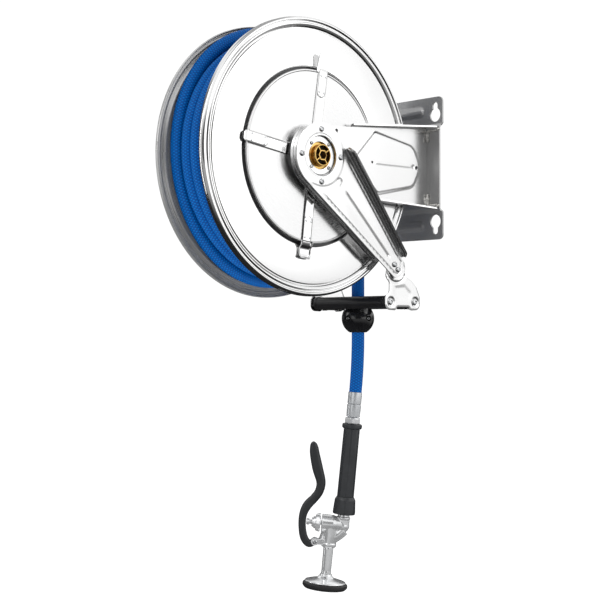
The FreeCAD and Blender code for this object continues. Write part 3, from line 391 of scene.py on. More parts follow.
def lathe(name, profile, origin, axis, material, body, stands_for=(), segments=160):
    """Turns a profile of (distance along the axis, radius) about an axis through origin."""
    axis = Vector(axis).normalized()
    first, second = axes_about(axis)
    verts = []
    for turn in range(segments):
        angle = 2 * math.pi * turn / segments
        out = first * math.cos(angle) + second * math.sin(angle)
        for along, radius in profile:
            verts.append(Vector(origin) + axis * float(along) + out * max(float(radius), 1e-5))
    faces = ring_faces(segments, len(profile), wrap=True)
    return make_piece(name, verts, faces, material, body, stands_for)


def turned(name, corners, origin, axis, material, body, stands_for=(), segments=160, side=1):
    """Turns rounded corners given in mm; side -1 mirrors them along the axis."""
    profile = [(side * along * MM, radius * MM) for along, radius in rounded_path(corners, closed=True)]
    return lathe(name, profile, origin, axis, material, body, stands_for, segments)


def tube(name, points, radius, material, body, stands_for=(), segments=20):
    """A round tube along points, with UVs of (metres along, turns around)."""
    points = [Vector(p) for p in points]
    verts, faces, uvs = [], [], []
    length = 0.0
    side = None
    columns = segments + 1
    for index, point in enumerate(points):
        tangent = (points[min(index + 1, len(points) - 1)] - points[max(index - 1, 0)]).normalized()
        if side is None:
            side = axes_about(tangent)[0]
        side = (side - tangent * side.dot(tangent)).normalized()
        other = tangent.cross(side)
        if index:
            length += (point - points[index - 1]).length
        for column in range(columns):
            angle = 2 * math.pi * column / segments
            verts.append(point + (side * math.cos(angle) + other * math.sin(angle)) * radius)
            uvs.append((length, column / segments))
    for ring in range(len(points) - 1):
        for column in range(segments):
            base = ring * columns + column
            faces.append((base, base + 1, base + columns + 1, base + columns))
    mesh = bpy.data.meshes.new(name)
    mesh.from_pydata([tuple(v) for v in verts], [], faces)
    layer = mesh.uv_layers.new(name="tube")
    for loop in mesh.loops:
        layer.data[loop.index].uv = uvs[loop.vertex_index]
    work = bmesh.new()
    work.from_mesh(mesh)
    bmesh.ops.remove_doubles(work, verts=work.verts, dist=1e-7)
    bmesh.ops.holes_fill(work, edges=[edge for edge in work.edges if edge.is_boundary], sides=segments + 2)
    bmesh.ops.recalc_face_normals(work, faces=work.faces)
    work.to_mesh(mesh)
    work.free()
    mesh.polygons.foreach_set("use_smooth", [True] * len(mesh.polygons))
    mesh.set_sharp_from_angle(angle=math.radians(50))
    return placed(name, mesh, material, body, stands_for)


def inside(loop, points):
    """Which points lie inside a closed 2-D loop."""
    x, y = points[:, 0], points[:, 1]
    hit = np.zeros(len(points), bool)
    for (x1, y1), (x2, y2) in zip(loop, np.roll(loop, -1, axis=0)):
        crosses = (y1 > y) != (y2 > y)
        with np.errstate(divide="ignore", invalid="ignore"):
            hit ^= crosses & (x < (x2 - x1) * (y - y1) / (y2 - y1) + x1)
    return hit


def edge_distance(loop, points):
    """Distance from each point to the nearest side of a closed loop."""
    best = np.full(len(points), 1e9)
    for start, stop in zip(loop, np.roll(loop, -1, axis=0)):
        run = stop - start
        share = np.clip(((points - start) @ run) / max(run @ run, 1e-18), 0, 1)
        best = np.minimum(best, np.linalg.norm(points - start - share[:, None] * run, axis=1))
    return best


def signed_depth(loop, points):
    """How deep each point lies inside a loop, negative outside."""
    loop = np.asarray(loop, float)
    return np.where(inside(loop, points), 1, -1) * edge_distance(loop, points)


def resample(loop, spacing):
    """Points at about equal spacing along a closed loop, keeping its corners."""
    dense = []
    loop = np.asarray(loop, float)
    for start, stop in zip(loop, np.roll(loop, -1, axis=0)):
        count = max(1, int(round(np.linalg.norm(stop - start) / spacing)))
        for step in range(count):
            dense.append(start + (stop - start) * step / count)
    return np.array(dense)


def circle_loop(centre, radius, count=40):
    angles = np.arange(count) * 2 * math.pi / count
    return np.stack([centre[0] + radius * np.cos(angles), centre[1] + radius * np.sin(angles)], 1)


def triangulate(outer, holes, spacing):
    """A fine triangle mesh of a flat outline with holes. Returns points and triangles."""
    loops = [resample(outer, spacing)] + [resample(hole, spacing) for hole in holes]
    verts, edges = [], []
    for loop in loops:
        first = len(verts)
        verts += [tuple(point) for point in loop]
        edges += [(first + i, first + (i + 1) % len(loop)) for i in range(len(loop))]
    low, high = loops[0].min(0), loops[0].max(0)
    xs = np.arange(low[0], high[0], spacing)
    ys = np.arange(low[1], high[1], spacing * 0.87)
    grid = [(x + (row % 2) * spacing / 2, y) for row, y in enumerate(ys) for x in xs]
    grid = np.array(grid)
    keep = inside(loops[0], grid) & (edge_distance(loops[0], grid) > spacing * 0.45)
    for hole in loops[1:]:
        keep &= ~inside(hole, grid) & (edge_distance(hole, grid) > spacing * 0.45)
    verts += [tuple(point) for point in grid[keep]]
    result = geometry.delaunay_2d_cdt([Vector(v) for v in verts], edges, [], 0, 1e-9)
    points = np.array([tuple(v) for v in result[0]])
    triangles = np.array([tuple(face) for face in result[2] if len(face) == 3])
    centres = points[triangles].mean(1)
    wanted = inside(loops[0], centres)
    for hole in loops[1:]:
        wanted &= ~inside(hole, centres)
    return points, triangles[wanted]


def boundary_chains(triangles):
    """Ordered boundary edges of a triangle mesh as a dict from each vertex to the next."""
    used = set()
    for a, b, c in triangles:
        used.update(((a, b), (b, c), (c, a)))
    return {a: b for a, b in used if (b, a) not in used}


def thickened(verts, triangles, thickness):
    """Front sheet, a copy set back along the normals, and the rim that joins them."""
    verts = np.asarray(verts, float)
    normals = np.zeros_like(verts)
    tri = verts[triangles]
    face_normals = np.cross(tri[:, 1] - tri[:, 0], tri[:, 2] - tri[:, 0])
    for corner in range(3):
        np.add.at(normals, triangles[:, corner], face_normals)
    normals /= np.maximum(np.linalg.norm(normals, axis=1, keepdims=True), 1e-12)
    back = verts - normals * thickness
    count = len(verts)
    faces = [tuple(t) for t in triangles] + [(c + count, b + count, a + count) for a, b, c in triangles]
    for a, b in boundary_chains(triangles).items():
        faces.append((b, a, a + count, b + count))
    return np.vstack([verts, back]), faces


def pressed_sheet(name, outer, holes, height, thickness, to_world, material, body, stands_for=(), *,
                  spacing, lips=(), ribbed=False):
    """A pressed metal sheet. height(points) lifts its face; each lip turns part of its edge.

    A lip is (wants, depth, radius, side): wants(points) picks boundary points, depth(points) is how far it
    stands, radius its bend, and side is 1 towards the front or -1 towards the back. Ribbed lips have shallow
    waves along them.
    """
    points, triangles = triangulate(outer, holes, spacing)
    tri = points[triangles]
    spin = np.cross(tri[:, 1] - tri[:, 0], tri[:, 2] - tri[:, 0])
    triangles = np.where((spin < 0)[:, None], triangles[:, ::-1], triangles)
    lift = height(points) if height else np.zeros(len(points))
    verts = [np.array([p[0], p[1], h]) for p, h in zip(points, lift)]
    extra = []
    chains = boundary_chains(triangles)
    for wants, depth, radius, side in lips:
        picked = wants(points)
        before = {b: a for a, b in chains.items()}
        rows = {}
        for vertex in chains:
            if not picked[vertex]:
                continue
            run = points[chains[vertex]] - points[before[vertex]]
            out = np.array([run[1], -run[0]]) / max(np.linalg.norm(run), 1e-12)
            reach = float(depth(points[vertex][None])[0])
            indices = [vertex]
            for step in range(1, 6):
                angle = math.pi / 2 * step / 5
                spot = points[vertex] + out * radius * math.sin(angle)
                indices.append(len(verts))
                verts.append(np.array([*spot, lift[vertex] + side * radius * (1 - math.cos(angle))]))
            spot = points[vertex] + out * radius
            steps = 12 if ribbed else 4
            for step in range(1, steps + 1):
                indices.append(len(verts))
                share = step / steps
                rise = radius + (reach - radius) * share
                wave = 0.9 * math.sin(share * 3 * math.pi) * min(1.0, reach / 10) if ribbed else 0.0
                verts.append(np.array([*(spot + out * wave), lift[vertex] + side * rise]))
            rows[vertex] = indices
        for vertex, indices in rows.items():
            following = chains[vertex]
            if following not in rows:
                continue
            other = rows[following]
            for low in range(len(indices) - 1):
                a, b, c, d = indices[low], indices[low + 1], other[low + 1], other[low]
                extra += [(a, b, c), (a, c, d)]
    if extra:
        triangles = np.vstack([triangles, np.array(extra)])
    verts, faces = thickened(np.array(verts), triangles, thickness)
    world = [to_world(v) for v in verts]
    return make_piece(name, world, faces, material, body, stands_for)


def at(x, across, up):
    """A point in millimetres: x along the axle, across from the drum axis towards the wall, up."""
    return Vector((x * MM, AXIS_Y + across * MM, up * MM))


def lathe_x(name, corners, material, body, stands_for=(), segments=192, steps=5, flip=False):
    """A piece turned about the drum axis from rounded corners of (x, radius[, corner radius]) in mm."""
    mid = DRUM_MID / MM
    path = rounded_path(corners, closed=True, steps=steps)
    profile = [((2 * mid - p[0] if flip else p[0]) * MM, p[1] * MM) for p in path]
    return lathe(name, profile, (0, AXIS_Y, 0), (1, 0, 0), material, body, stands_for, segments)


def join(name, parts, stands_for=(), sharpen=True):
    """Merges several pieces of one body into one object, keeping their UVs."""
    keep = parts[0]
    work = bmesh.new()
    for part in parts:
        work.from_mesh(part.data)
    work.to_mesh(keep.data)
    work.free()
    if sharpen:
        keep.data.set_sharp_from_angle(angle=SHARP)
    keep.name = name
    keep.data.name = name
    for part in parts[1:]:
        data = part.data
        bpy.data.objects.remove(part)
        bpy.data.meshes.remove(data)
    if stands_for:
        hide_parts(*stands_for)
    return keep


def side_x(side):
    """Maps sheet coordinates (across, up, rise) in mm to the +X or -X arm of the bracket."""

    def mapper(face):
        def place(v):
            return at(side * (face + v[2]), v[0], v[1])

        return place

    return mapper


# ---------------------------------------------------------------- fasteners


def screw_head(radius, rise, slots=True):
    """Heights of a pan head with a cross recess, as (points, faces) about +Z, in mm."""
    rings = 15
    sectors = 48
    verts = [(0, 0, 0)]
    for ring in range(1, rings + 1):
        for sector in range(sectors):
            angle = 2 * math.pi * sector / sectors
            share = ring / rings
            verts.append((radius * share * math.cos(angle), radius * share * math.sin(angle), 0))
    lifted = []
    arm, half = radius * 0.62, radius * 0.15
    for x, y, _ in verts:
        share = min(1.0, math.hypot(x, y) / radius)
        top = rise * math.sqrt(max(0.0, 1 - share ** 4 * 0.98))
        if slots:
            for run, side in ((abs(x), abs(y)), (abs(y), abs(x))):
                wide = half * (1.0 if run < arm * 0.6 else max(0.0, 1.6 - run / arm))
                if run < arm and side < wide + 0.12 * radius:
                    depth = rise * 0.75 * min(1.0, (arm - run) / (0.35 * arm))
                    fade = min(1.0, max(0.0, (wide + 0.12 * radius - side) / (0.12 * radius)))
                    top = min(top, rise - depth * fade)
        lifted.append((x, y, top))
    faces = [(0, 1 + s, 1 + (s + 1) % sectors) for s in range(sectors)]
    faces += [(a, d, c, b) for a, b, c, d in ring_faces(rings, sectors, start=1)]
    base = len(lifted)
    rim = 1 + (rings - 1) * sectors
    for s in range(sectors):
        x, y, _ = lifted[rim + s]
        lifted.append((x, y, 0))
    for s in range(sectors):
        a, b = rim + s, rim + (s + 1) % sectors
        faces.append((a, base + s, base + (s + 1) % sectors, b))
    faces.append(tuple(reversed(range(base, base + sectors))))
    return lifted, faces


def screws(name, spots, radius, rise, material, body, stands_for=(), shank=0.0, slots=True):
    """Screw or rivet heads, each turned differently; spots holds (point in metres, direction) pairs."""
    head, head_faces = screw_head(radius, rise, slots)
    if shank:
        base = len(head)
        for depth in (-0.01, -shank):
            for s in range(24):
                angle = 2 * math.pi * s / 24
                head.append((radius * 0.5 * math.cos(angle), radius * 0.5 * math.sin(angle), depth))
        for s in range(24):
            a, b = base + s, base + (s + 1) % 24
            head_faces.append((a, a + 24, b + 24, b))
        head_faces.append(tuple(reversed(range(base + 24, base + 48))))
        head_faces.append(tuple(range(base, base + 24)))
    verts, faces = [], []
    for spot, way in spots:
        axis = Vector(way).normalized()
        first, second = axes_about(axis)
        twist = random.uniform(0, math.pi / 2)
        start = len(verts)
        for x, y, z in head:
            turned_x = x * math.cos(twist) - y * math.sin(twist)
            turned_y = x * math.sin(twist) + y * math.cos(twist)
            verts.append(Vector(spot) + (first * turned_x + second * turned_y + axis * z) * MM)
        faces += [tuple(start + i for i in face) for face in head_faces]
    return make_piece(name, verts, faces, material, body, stands_for)


# ---------------------------------------------------------------- drum


def disc_corners():
    """Section of a side disc: inner return, flat web, groove, bead and rolled outer edge."""
    face, back = 66.5, 65.0
    return [
        (back - 5, 139.4, 0.3), (back - 5, 138.0, 0.3), (face - 1.2, 138.0, 1.2), (face, 139.6, 0.8),
        (face, 195.6, 0.8), (face - 1.2, 197.0, 0.9), (face - 1.2, 198.2, 0.9), (face + 0.8, 200.2, 1.2),
        (face + 2.4, 203.0, 1.6), (face + 2.4, 204.6, 1.2), (face + 0.5, 206.4, 0.9),
        (face + 0.5, 208.0, 0.9), (face + 2.8, 209.8, 1.4), (face + 2.8, 212.0, 2.2),
        (face - 0.6, 215.0, 2.4), (back - 5, 215.0, 0.6), (back - 5, 213.6, 0.6), (face - 1.6, 213.6, 1.2),
        (face + 1.3, 211.4, 1.0), (face - 0.9, 207.2, 0.8), (face + 0.9, 203.8, 0.8),
        (back + 0.4, 201.4, 1.0), (back - 2.4, 198.8, 0.8), (back - 2.4, 196.4, 0.8),
        (back, 194.8, 0.6), (back, 140.4, 0.5),
    ]


def build_drum():
    tube_corners = [(-34.5, 132.5), (56.5, 132.5), (56.5, 133.9), (-34.5, 133.9)]
    lathe_x("core_tube", tube_corners, "sheet", "drum", ["drum_core"])
    cap = [
        (70.5, 38.1), (70.5, 44, 0.4), (69.9, 46, 0.8), (69.9, 130.4, 0.8), (70.7, 131.6, 0.6),
        (70.5, 134.0, 1.6), (56.7, 134.0, 0.2), (56.7, 132.7, 0.2), (68.4, 132.7, 1.0), (68.5, 42.0, 1.0),
        (48.7, 42.0, 0.3), (48.7, 38.1, 0.3),
    ]
    flange = [(59.0, 132.8), (60.6, 132.8), (60.6, 138.6), (59.0, 138.6)]
    for label, finish, flip in (("near", "spun", False), ("far", "spun_far", True)):
        lathe_x("disc_" + label, disc_corners(), finish, "drum", ["drum_disc_" + label], 256, 4, flip=flip)
        lathe_x("cap_" + label, cap, "cap", "drum", ["drum_cap_" + label], flip=flip)
        # painted shadow: a flange ring in black case enamel fills the gap between disc return and core,
        # standing in for the shadow there and hiding the hose behind it
        lathe_x("shadow_flange_" + label, flange, "case", "drum", flip=flip)
    straps()


def strap_frame(quarter):
    """Maps (radius, sideways, rise) in mm on the near cap's face at one strap's angle."""
    angle = math.radians(quarter * 90 - (9.0, 8.5, 6.5, 7.0)[quarter])
    out = Vector((0, -math.sin(angle), math.cos(angle)))
    side = Vector((0, math.cos(angle), math.sin(angle)))
    face = 70.5

    def place(v):
        return at(face + v[2], 0, 0) + (out * v[0] + side * v[1]) * MM

    return place


def strap_clip(quarter, place):
    """Clip at a strap's end: a dished foot below, a flat tab above, a short hook at the sides."""
    reach, half, wall = {0: (161.0, 5.8, 0.0), 2: (158.5, 11.4, 2.6)}.get(quarter, (140.5, 7.0, 0.0))
    middle_line = -8.0 if quarter == 0 else 0.0
    shape = [(131.5, middle_line - half, 1.5), (reach, middle_line - half, min(4.0, half * 0.8)),
             (reach, middle_line + half, min(4.0, half * 0.8)), (131.5, middle_line + half, 1.5)]
    shape = rounded_path(shape, closed=True, steps=7)

    def lift(points):
        along = points[:, 0]
        over = smooth_step(along, 150.0, reach) if wall else 0.0
        tilt = 0.15 * np.clip(along - 138.0, 0, None) if quarter == 0 else 0.0
        brim = 1 - smooth_step(signed_depth(shape, points), 0.4, 2.6)
        drop = 3.6 * smooth_step(along, 137.0, 144.0) if wall else 0.0
        return 0.9 + wall * brim + 1.8 * over + tilt - drop

    name = "strap_clip_" + str(quarter)
    return pressed_sheet(name, shape, [], lift, 1.1, place, "bright", "drum", spacing=1.2)


def straps():
    """Clamp straps with turned-up edges, riveted end plates with a round end, and clips over the disc."""
    bars, plates, clips, rivets = [], [], [], []
    for quarter in range(4):
        place = strap_frame(quarter)
        tag = str(quarter)
        outline = rounded_path([(50, -9.6), (132.2, -9.6, 1), (132.2, 9.6, 1), (50, 9.6)], closed=True)

        def ridge(points):
            side = np.abs(points[:, 1])
            edge = np.clip((side - 7.2) / 1.6, 0, 1)
            return 1.0 + 0.75 * edge ** 2 - 1.1 * np.clip((side - 8.9) / 0.7, 0, 1)

        bars.append(pressed_sheet("strap_" + tag, outline, [], ridge, 0.9, place, "bright", "drum",
                                  spacing=1.6))
        end = [(93, -8.0, 8.0), (138.5, -8.0, 1.2), (138.5, 8.0, 1.2), (93, 8.0, 8.0)]
        end = rounded_path(end, closed=True, steps=8)

        def step(points):
            fall = np.clip((points[:, 0] - 134.5) / 3.0, 0, 1)
            crown = np.clip(signed_depth(end, points) / 1.2, 0, 1)
            return 1.9 + 0.5 * crown - 1.1 * fall

        plates.append(pressed_sheet("strap_plate_" + tag, end, [], step, 0.9, place, "bright", "drum",
                                    spacing=1.4))
        for across in (-5.0, 5.0):
            for along in (101.0, 126.5):
                rivets.append((place((along, across, 2.3)), (1, 0, 0)))
        clips.append(strap_clip(quarter, place))
    join("clamp_straps_dressed", bars, ["clamp_straps"])
    join("strap_plates_dressed", plates, ["strap_end_plates"])
    join("disc_clips_dressed", clips, ["disc_clips"])
    screws("strap_rivets_dressed", rivets, 1.7, 0.9, "screw", "drum", ["strap_rivets"], slots=False)


# ---------------------------------------------------------------- hub


def hub_bolts():
    return [(40.3 * math.cos(a * math.pi / 2), 40.3 * math.sin(a * math.pi / 2)) for a in range(4)]


def build_hub():
    """Spacer rings, every bracket screw, the swivel flange and the brass inlet with its spoked front."""
    for side, label in ((1, "near"), (-1, "far")):
        ring = [(76.7, 33.5, 0.3), (86.9, 33.5, 0.3), (86.9, 46, 0.5), (76.7, 46, 0.5)]
        turned("hub_ring_" + label, ring, (0, AXIS_Y, 0), (1, 0, 0), "bright", "bracket",
               ["hub_spacers"] if side > 0 else (), side=side)
    spots = []
    for side in (1, -1):
        for across, up in hub_bolts() + tip_screws():
            spots.append((at(side * 89.6, across, up), (side, 0, 0)))
    screws("bracket_screws_dressed", spots, 4.6, 2.6, "screw", "bracket", ["bracket_screws"], shank=8)
    flange = [(76.7, 21.2, 0.2), (86.0, 21.2, 0.3), (86.0, 29.6, 0.8), (76.7, 29.6, 0.2)]
    lathe_x("swivel_flange_dressed", flange, "bright", "bracket", ["swivel_flange"], 128)
    spots = [(at(86.0, s * 17.8, t * 17.8), (1, 0, 0)) for s in (-1, 1) for t in (-1, 1)]
    screws("swivel_screws_dressed", spots, 3.0, 2.0, "screw", "bracket", ["swivel_screws"], shank=3)
    shell = [
        (40, 8.1), (48.7, 8.1), (48.7, 9.6), (51.3, 9.6), (51.3, 8.1), (60.7, 8.1), (60.7, 9.6), (63.3, 9.6),
        (63.3, 8.1), (83.2, 8.1), (83.2, 14.6, 0.6), (93, 14.9, 0.3), (93, 16.6, 0.6), (91.2, 16.6, 0.3),
        (90.7, 16.1, 0.2), (90.2, 16.6, 0.3), (82.6, 16.6, 0.6), (82.6, 20.8, 0.6), (79.7, 20.8, 0.3),
        (79.7, 20, 0.2), (40, 20, 0.8),
    ]
    parts = [lathe_x("inlet_shell", shell, "brass", "bracket", (), 128)]
    verts, faces = [], []

    def bar(corners, low, high):
        ends = [[at(x, across, up) for across, up in corners] for x in (low, high)]
        add_prism(verts, faces, *ends)

    for turn in range(6):
        a, b = turn * math.pi / 3, (turn + 1) * math.pi / 3
        corners = [(8.7 * math.cos(a), 8.7 * math.sin(a)), (8.7 * math.cos(b), 8.7 * math.sin(b)),
                   (6.9 * math.cos(b), 6.9 * math.sin(b)), (6.9 * math.cos(a), 6.9 * math.sin(a))]
        bar(corners, 84, 92.6)
    for turn in range(4):
        a = math.radians(35 + 90 * turn)
        out, side = (math.cos(a), math.sin(a)), (-math.sin(a) * 0.7, math.cos(a) * 0.7)
        corners = [(out[0] * r + side[0] * s, out[1] * r + side[1] * s) for r, s in
                   ((8.0, 1), (15.2, 1), (15.2, -1), (8.0, -1))]
        bar(corners, 84, 92.4)
    parts.append(make_piece("inlet_spider", verts, faces, "brass", "bracket", smooth=False))
    join("inlet_dressed", parts, ["inlet_swivel"])
    back = [(83.3, 0.2), (83.9, 0.2), (83.9, 14.4), (83.3, 14.4)]
    lathe_x("inlet_strainer", back, "seal", "bracket", (), 64)


def tip_screws():
    shares = [1 + s / GUIDE_LENGTH for s in (-7.5, 3.5)]
    return [(TIP_ACROSS * share, TIP_UP * share) for share in shares]


# ---------------------------------------------------------------- wall plate and arms


def smooth_step(value, low, high):
    share = np.clip((value - low) / (high - low), 0, 1)
    return share * share * (3 - 2 * share)


def build_wall_plate():
    """Pressed plate: tabs against the wall with a stiffening bead, a raised strip, four keyholes."""
    outline = [(-106, -117.6, 9), (106, -117.6, 9), (106, -73, 2), (103, -71, 2), (103, 71, 2), (106, 73, 2),
               (106, 117.6, 9), (-106, 117.6, 9), (-106, 73, 2), (-103, 71, 2), (-103, -71, 2),
               (-106, -73, 2)]
    outline = rounded_path(outline, closed=True)
    holes = []
    wide, wide_up, narrow, narrow_up = 11.5, 88.0, 5.5, 103.5
    meet = math.asin(narrow / wide)
    for x in (-90, 90):
        for sign in (-1, 1):
            hole = []
            for step in range(33):
                angle = math.pi / 2 + meet + (2 * math.pi - 2 * meet) * step / 32
                hole.append((x + wide * math.cos(angle), sign * (wide_up + wide * math.sin(angle))))
            for step in range(13):
                angle = math.pi * step / 12
                hole.append((x + narrow * math.cos(angle), sign * (narrow_up + narrow * math.sin(angle))))
            holes.append(hole if sign > 0 else hole[::-1])

    def height(points):
        x, z = np.abs(points[:, 0]), np.abs(points[:, 1])
        joggle = 4.5 * (1 - smooth_step(z, 66.5, 73.5))
        bead_line = np.hypot(np.maximum(x - 58, 0), z - 95)
        bead = 2.6 * (1 - smooth_step(bead_line, 3.0, 8.5))
        warp = 0.12 * np.sin(points[:, 0] / 17.0) * np.sin(points[:, 1] / 23.0)
        return 3 + joggle + bead + warp

    def place(v):
        return Vector((v[0] * MM, -v[2] * MM, v[1] * MM))

    pressed_sheet("wall_plate_dressed", outline, holes, height, 3.0, place, "plate", "bracket",
                  ["wall_plate"], spacing=3.0)


def arm_outline():
    """Loop in (across, up) of a support arm, and the lean of its edges: wall end, then round head."""
    head, reach, rise = 47.0, 250.4, 63.5
    lean = math.atan2(rise - head, reach)
    loop = [(reach, -rise), (reach, rise)]
    for step in range(41):
        angle = math.pi / 2 + lean + (math.pi - 2 * lean) * step / 40
        loop.append((head * math.cos(angle), head * math.sin(angle)))
    return loop, lean


def build_support_arm(side, label):
    """Support arm: head round the hub, tapering web with a pressed shield and crease, and turned-out lips."""
    outline, lean = arm_outline()
    holes = [circle_loop((0, 0), 26, 60), circle_loop((43.7, 43), 3.4, 20), circle_loop((119.5, 0), 2.2, 16),
             circle_loop((221.5, -1.5), 3.4, 20)]
    shield = [(84.0, 6.0, 16), (127.0, 49.0, 8), (214.0, 33.0, 20), (233.0, 0, 26), (214.0, -33.0, 20),
              (132.0, -49.0, 10), (84.0, -6.0, 16)]
    shield = rounded_path(shield, closed=True, steps=8)

    def height(points):
        x, z = points[:, 0], points[:, 1]
        depth = signed_depth(shield, points)
        rise = 2.6 * smooth_step(depth, -2.4, 2.4)
        crease = 0.7 * np.exp(-((z / 1.8) ** 2)) * smooth_step(x, 124, 129) * (1 - smooth_step(x, 206, 212))
        dots = 1.6 * np.exp(-((x - 214.5) ** 2 + z ** 2) / 5.0)
        return rise + crease - dots

    def lip_zone(points):
        bound = 47 + (points[:, 0] + 47 * math.sin(lean)) * math.tan(lean)
        return (points[:, 0] > 58) & (points[:, 0] < 249.9) & (np.abs(points[:, 1]) > bound - 1.2)

    def lip_depth(points):
        return 3 + 21 * np.clip((points[:, 0] - 58) / 190, 0, 1)

    place = side_x(side)(74.1 + 2.5)
    name = "support_arm_" + label
    pressed_sheet(name + "_dressed", outline, holes, height, 2.5, place, "arm", "bracket", [name],
                  spacing=2.0, lips=[(lip_zone, lip_depth, 2.4, 1)])


def tangent_pair(head, tip, side):
    """Where the common tangent on one side touches the head and tip circles, along the arm's centre line."""
    lean = math.asin((head - tip) / GUIDE_LENGTH)
    way = np.array([math.sin(lean), side * math.cos(lean)])
    return head * way, np.array([GUIDE_LENGTH, 0]) + tip * way, lean


def arc(centre, radius, first, last, count):
    angles = np.linspace(first, last, count)
    return [(centre + radius * math.cos(angle), radius * math.sin(angle)) for angle in angles]


def guide_outline():
    """Loop in (along, across) of a guide arm: head circle, straight sides, a small round tip."""
    _, room_end, room_lean = tangent_pair(50.0, 15.5, -1)
    wall_start, wall_end, _ = tangent_pair(48.5, 19.5, 1)
    loop = arc(0, 50.0, math.pi / 2, 3 * math.pi / 2 + room_lean, 48)
    loop += [tuple(room_end)] + arc(GUIDE_LENGTH, 15.5, -math.pi / 2 + room_lean, math.pi * 0.30, 26)
    loop += [tuple(wall_end), tuple(wall_start)]
    return loop


def guide_place(side):
    """Maps (along, across, rise) on a guide arm to the world."""
    cos, sin = math.cos(GUIDE_HEADING), math.sin(GUIDE_HEADING)

    def place(v):
        return at(side * (89.5 + v[2]), v[0] * cos - v[1] * sin, v[0] * sin + v[1] * cos)

    return place


def build_guide_arm(side, label):
    """Guide arm: head over the hub, tapering web with beads and a crease, outward lip, inward skirt."""
    outline = guide_outline()
    loop = np.array(outline)
    holes = [circle_loop((0, 0), 30.7, 72)]

    def height(points):
        run, across = points[:, 0], points[:, 1]
        depth = edge_distance(loop, points)
        band = 0.8 * np.exp(-(((depth - 6.0) / 1.0) ** 2)) * smooth_step(run, 40, 56)
        creased = smooth_step(run, 72, 78) * (1 - smooth_step(run, 206, 214))
        crease = 0.9 * np.exp(-((across / 1.5) ** 2)) * creased
        ring = np.hypot(run - 55.0, across)
        curl = 0.9 * np.exp(-(((ring - 5.5) / 1.2) ** 2)) * np.clip((across + 3.5) / 3, 0, 1)
        rim = -0.6 * np.exp(-(((np.hypot(run, across) - 32.6) / 1.3) ** 2))
        bank = 0.5 * smooth_step(np.abs(across), 6, 26) * smooth_step(run, 60, 110)
        head = 0.5 * smooth_step(np.hypot(run, across), 45.5, 48.0) * smooth_step(run, 10, 24)
        return -band - crease - curl + rim + bank - head

    def lip_zone(points):
        return (points[:, 1] > 10) & (points[:, 0] > 26) & (points[:, 0] < 231) & (np.hypot(*points.T) > 36)

    def lip_depth(points):
        start = np.sqrt(np.clip((points[:, 0] - 26) / 9, 0, 1))
        stop = np.sqrt(np.clip((231 - points[:, 0]) / 7, 0, 1))
        return 2.4 + (12.0 - 3.0 * smooth_step(points[:, 0], 60, 220)) * start * stop

    def skirt_zone(points):
        low_side = (points[:, 1] < -8) & (points[:, 0] < 192) & (points[:, 0] > -20)
        return (low_side | ((points[:, 0] <= 4) & (points[:, 1] < 0))) & (np.hypot(*points.T) > 36)

    def skirt_depth(points):
        return np.full(len(points), 13.0)

    name = "guide_arm_" + label
    lips = [(lip_zone, lip_depth, 1.6, 1), (skirt_zone, skirt_depth, 2.6, -1)]
    pressed_sheet(name + "_dressed", outline, holes, height, 2.2, guide_place(side), "arm", "bracket", [name],
                  spacing=1.6, lips=lips, ribbed=True)


def end_plate_outline():
    """Bone shape: a round head on the arm's tip, a waist and two lower lobes."""
    corners = [
        (143.0, -168.5, 10), (143.5, -184, 6), (149.5, -190.5, 6), (149.0, -206.5, 8), (139.8, -212.5, 9),
        (139.8, -234.0, 10), (163.5, -235.0, 9), (166.5, -229.5, 4), (194.0, -229.5, 4), (197.0, -235.0, 9),
        (220.0, -234.0, 10), (219.5, -213.0, 9), (211.0, -195.5, 8), (200.0, -186.0, 8), (188.0, -181.0, 8),
        (185.5, -172.0, 8), (186.0, -158.0, 14), (172, -146.5, 14), (150, -148.0, 14),
    ]
    return rounded_path(corners, closed=True, steps=7)


def build_end_plate(side, label):
    """Plate at a guide arm's tip that carries one end of each long roller, and ears for the short one."""
    outline = end_plate_outline()
    pins = [(RUN_ACROSS + s * LONG_ROLLER_SIDE, LONG_ROLLER_UP) for s in (-1, 1)]
    holes = [circle_loop(pin, 3.9, 18) for pin in pins]
    loop = np.array(outline)
    tip = np.array([TIP_ACROSS, TIP_UP])
    waist = rounded_path([(160, -196, 5), (184, -194, 5), (203, -209, 8), (192, -218.5, 8), (168, -218.5, 8),
                          (158, -209, 8)], closed=True)

    def height(points):
        from_tip = np.hypot(*(points - tip).T)
        collar = 1.5 * np.exp(-(((from_tip - 20.0) / 1.5) ** 2)) + 1.4 * smooth_step(from_tip, 23.5, 26.5)
        dish = 0.5 * smooth_step(signed_depth(waist, points), -4.0, 6.0)
        pockets = 0
        for pin in pins:
            pockets = pockets + 1.5 * (1 - smooth_step(np.hypot(*(points - np.array(pin)).T), 6.6, 9.0))
        edge = 0.8 * (1 - smooth_step(edge_distance(loop, points), 0.2, 2.2))
        return collar - dish - pockets - edge

    place = side_x(side)(87.0)
    name = "roller_end_plate_" + label
    parts = [pressed_sheet("end_plate_web_" + label, outline, holes, height, 2.0, place, "bright", "bracket",
                           spacing=1.5)]
    shape = rounded_path([(86, -220.5), (72, -220.5, 5), (72, -233.5, 5), (86, -233.5)], closed=True)
    for ear in (-1, 1):
        across = RUN_ACROSS + ear * 14.2
        verts, faces = [], []
        ends = [[at(side * p[0], across + offset, p[1]) for p in shape] for offset in (-1, 1)]
        add_prism(verts, faces, *ends)
        parts.append(make_piece("ear", verts, faces, "bright", "bracket"))
    join(name + "_dressed", parts, [name])


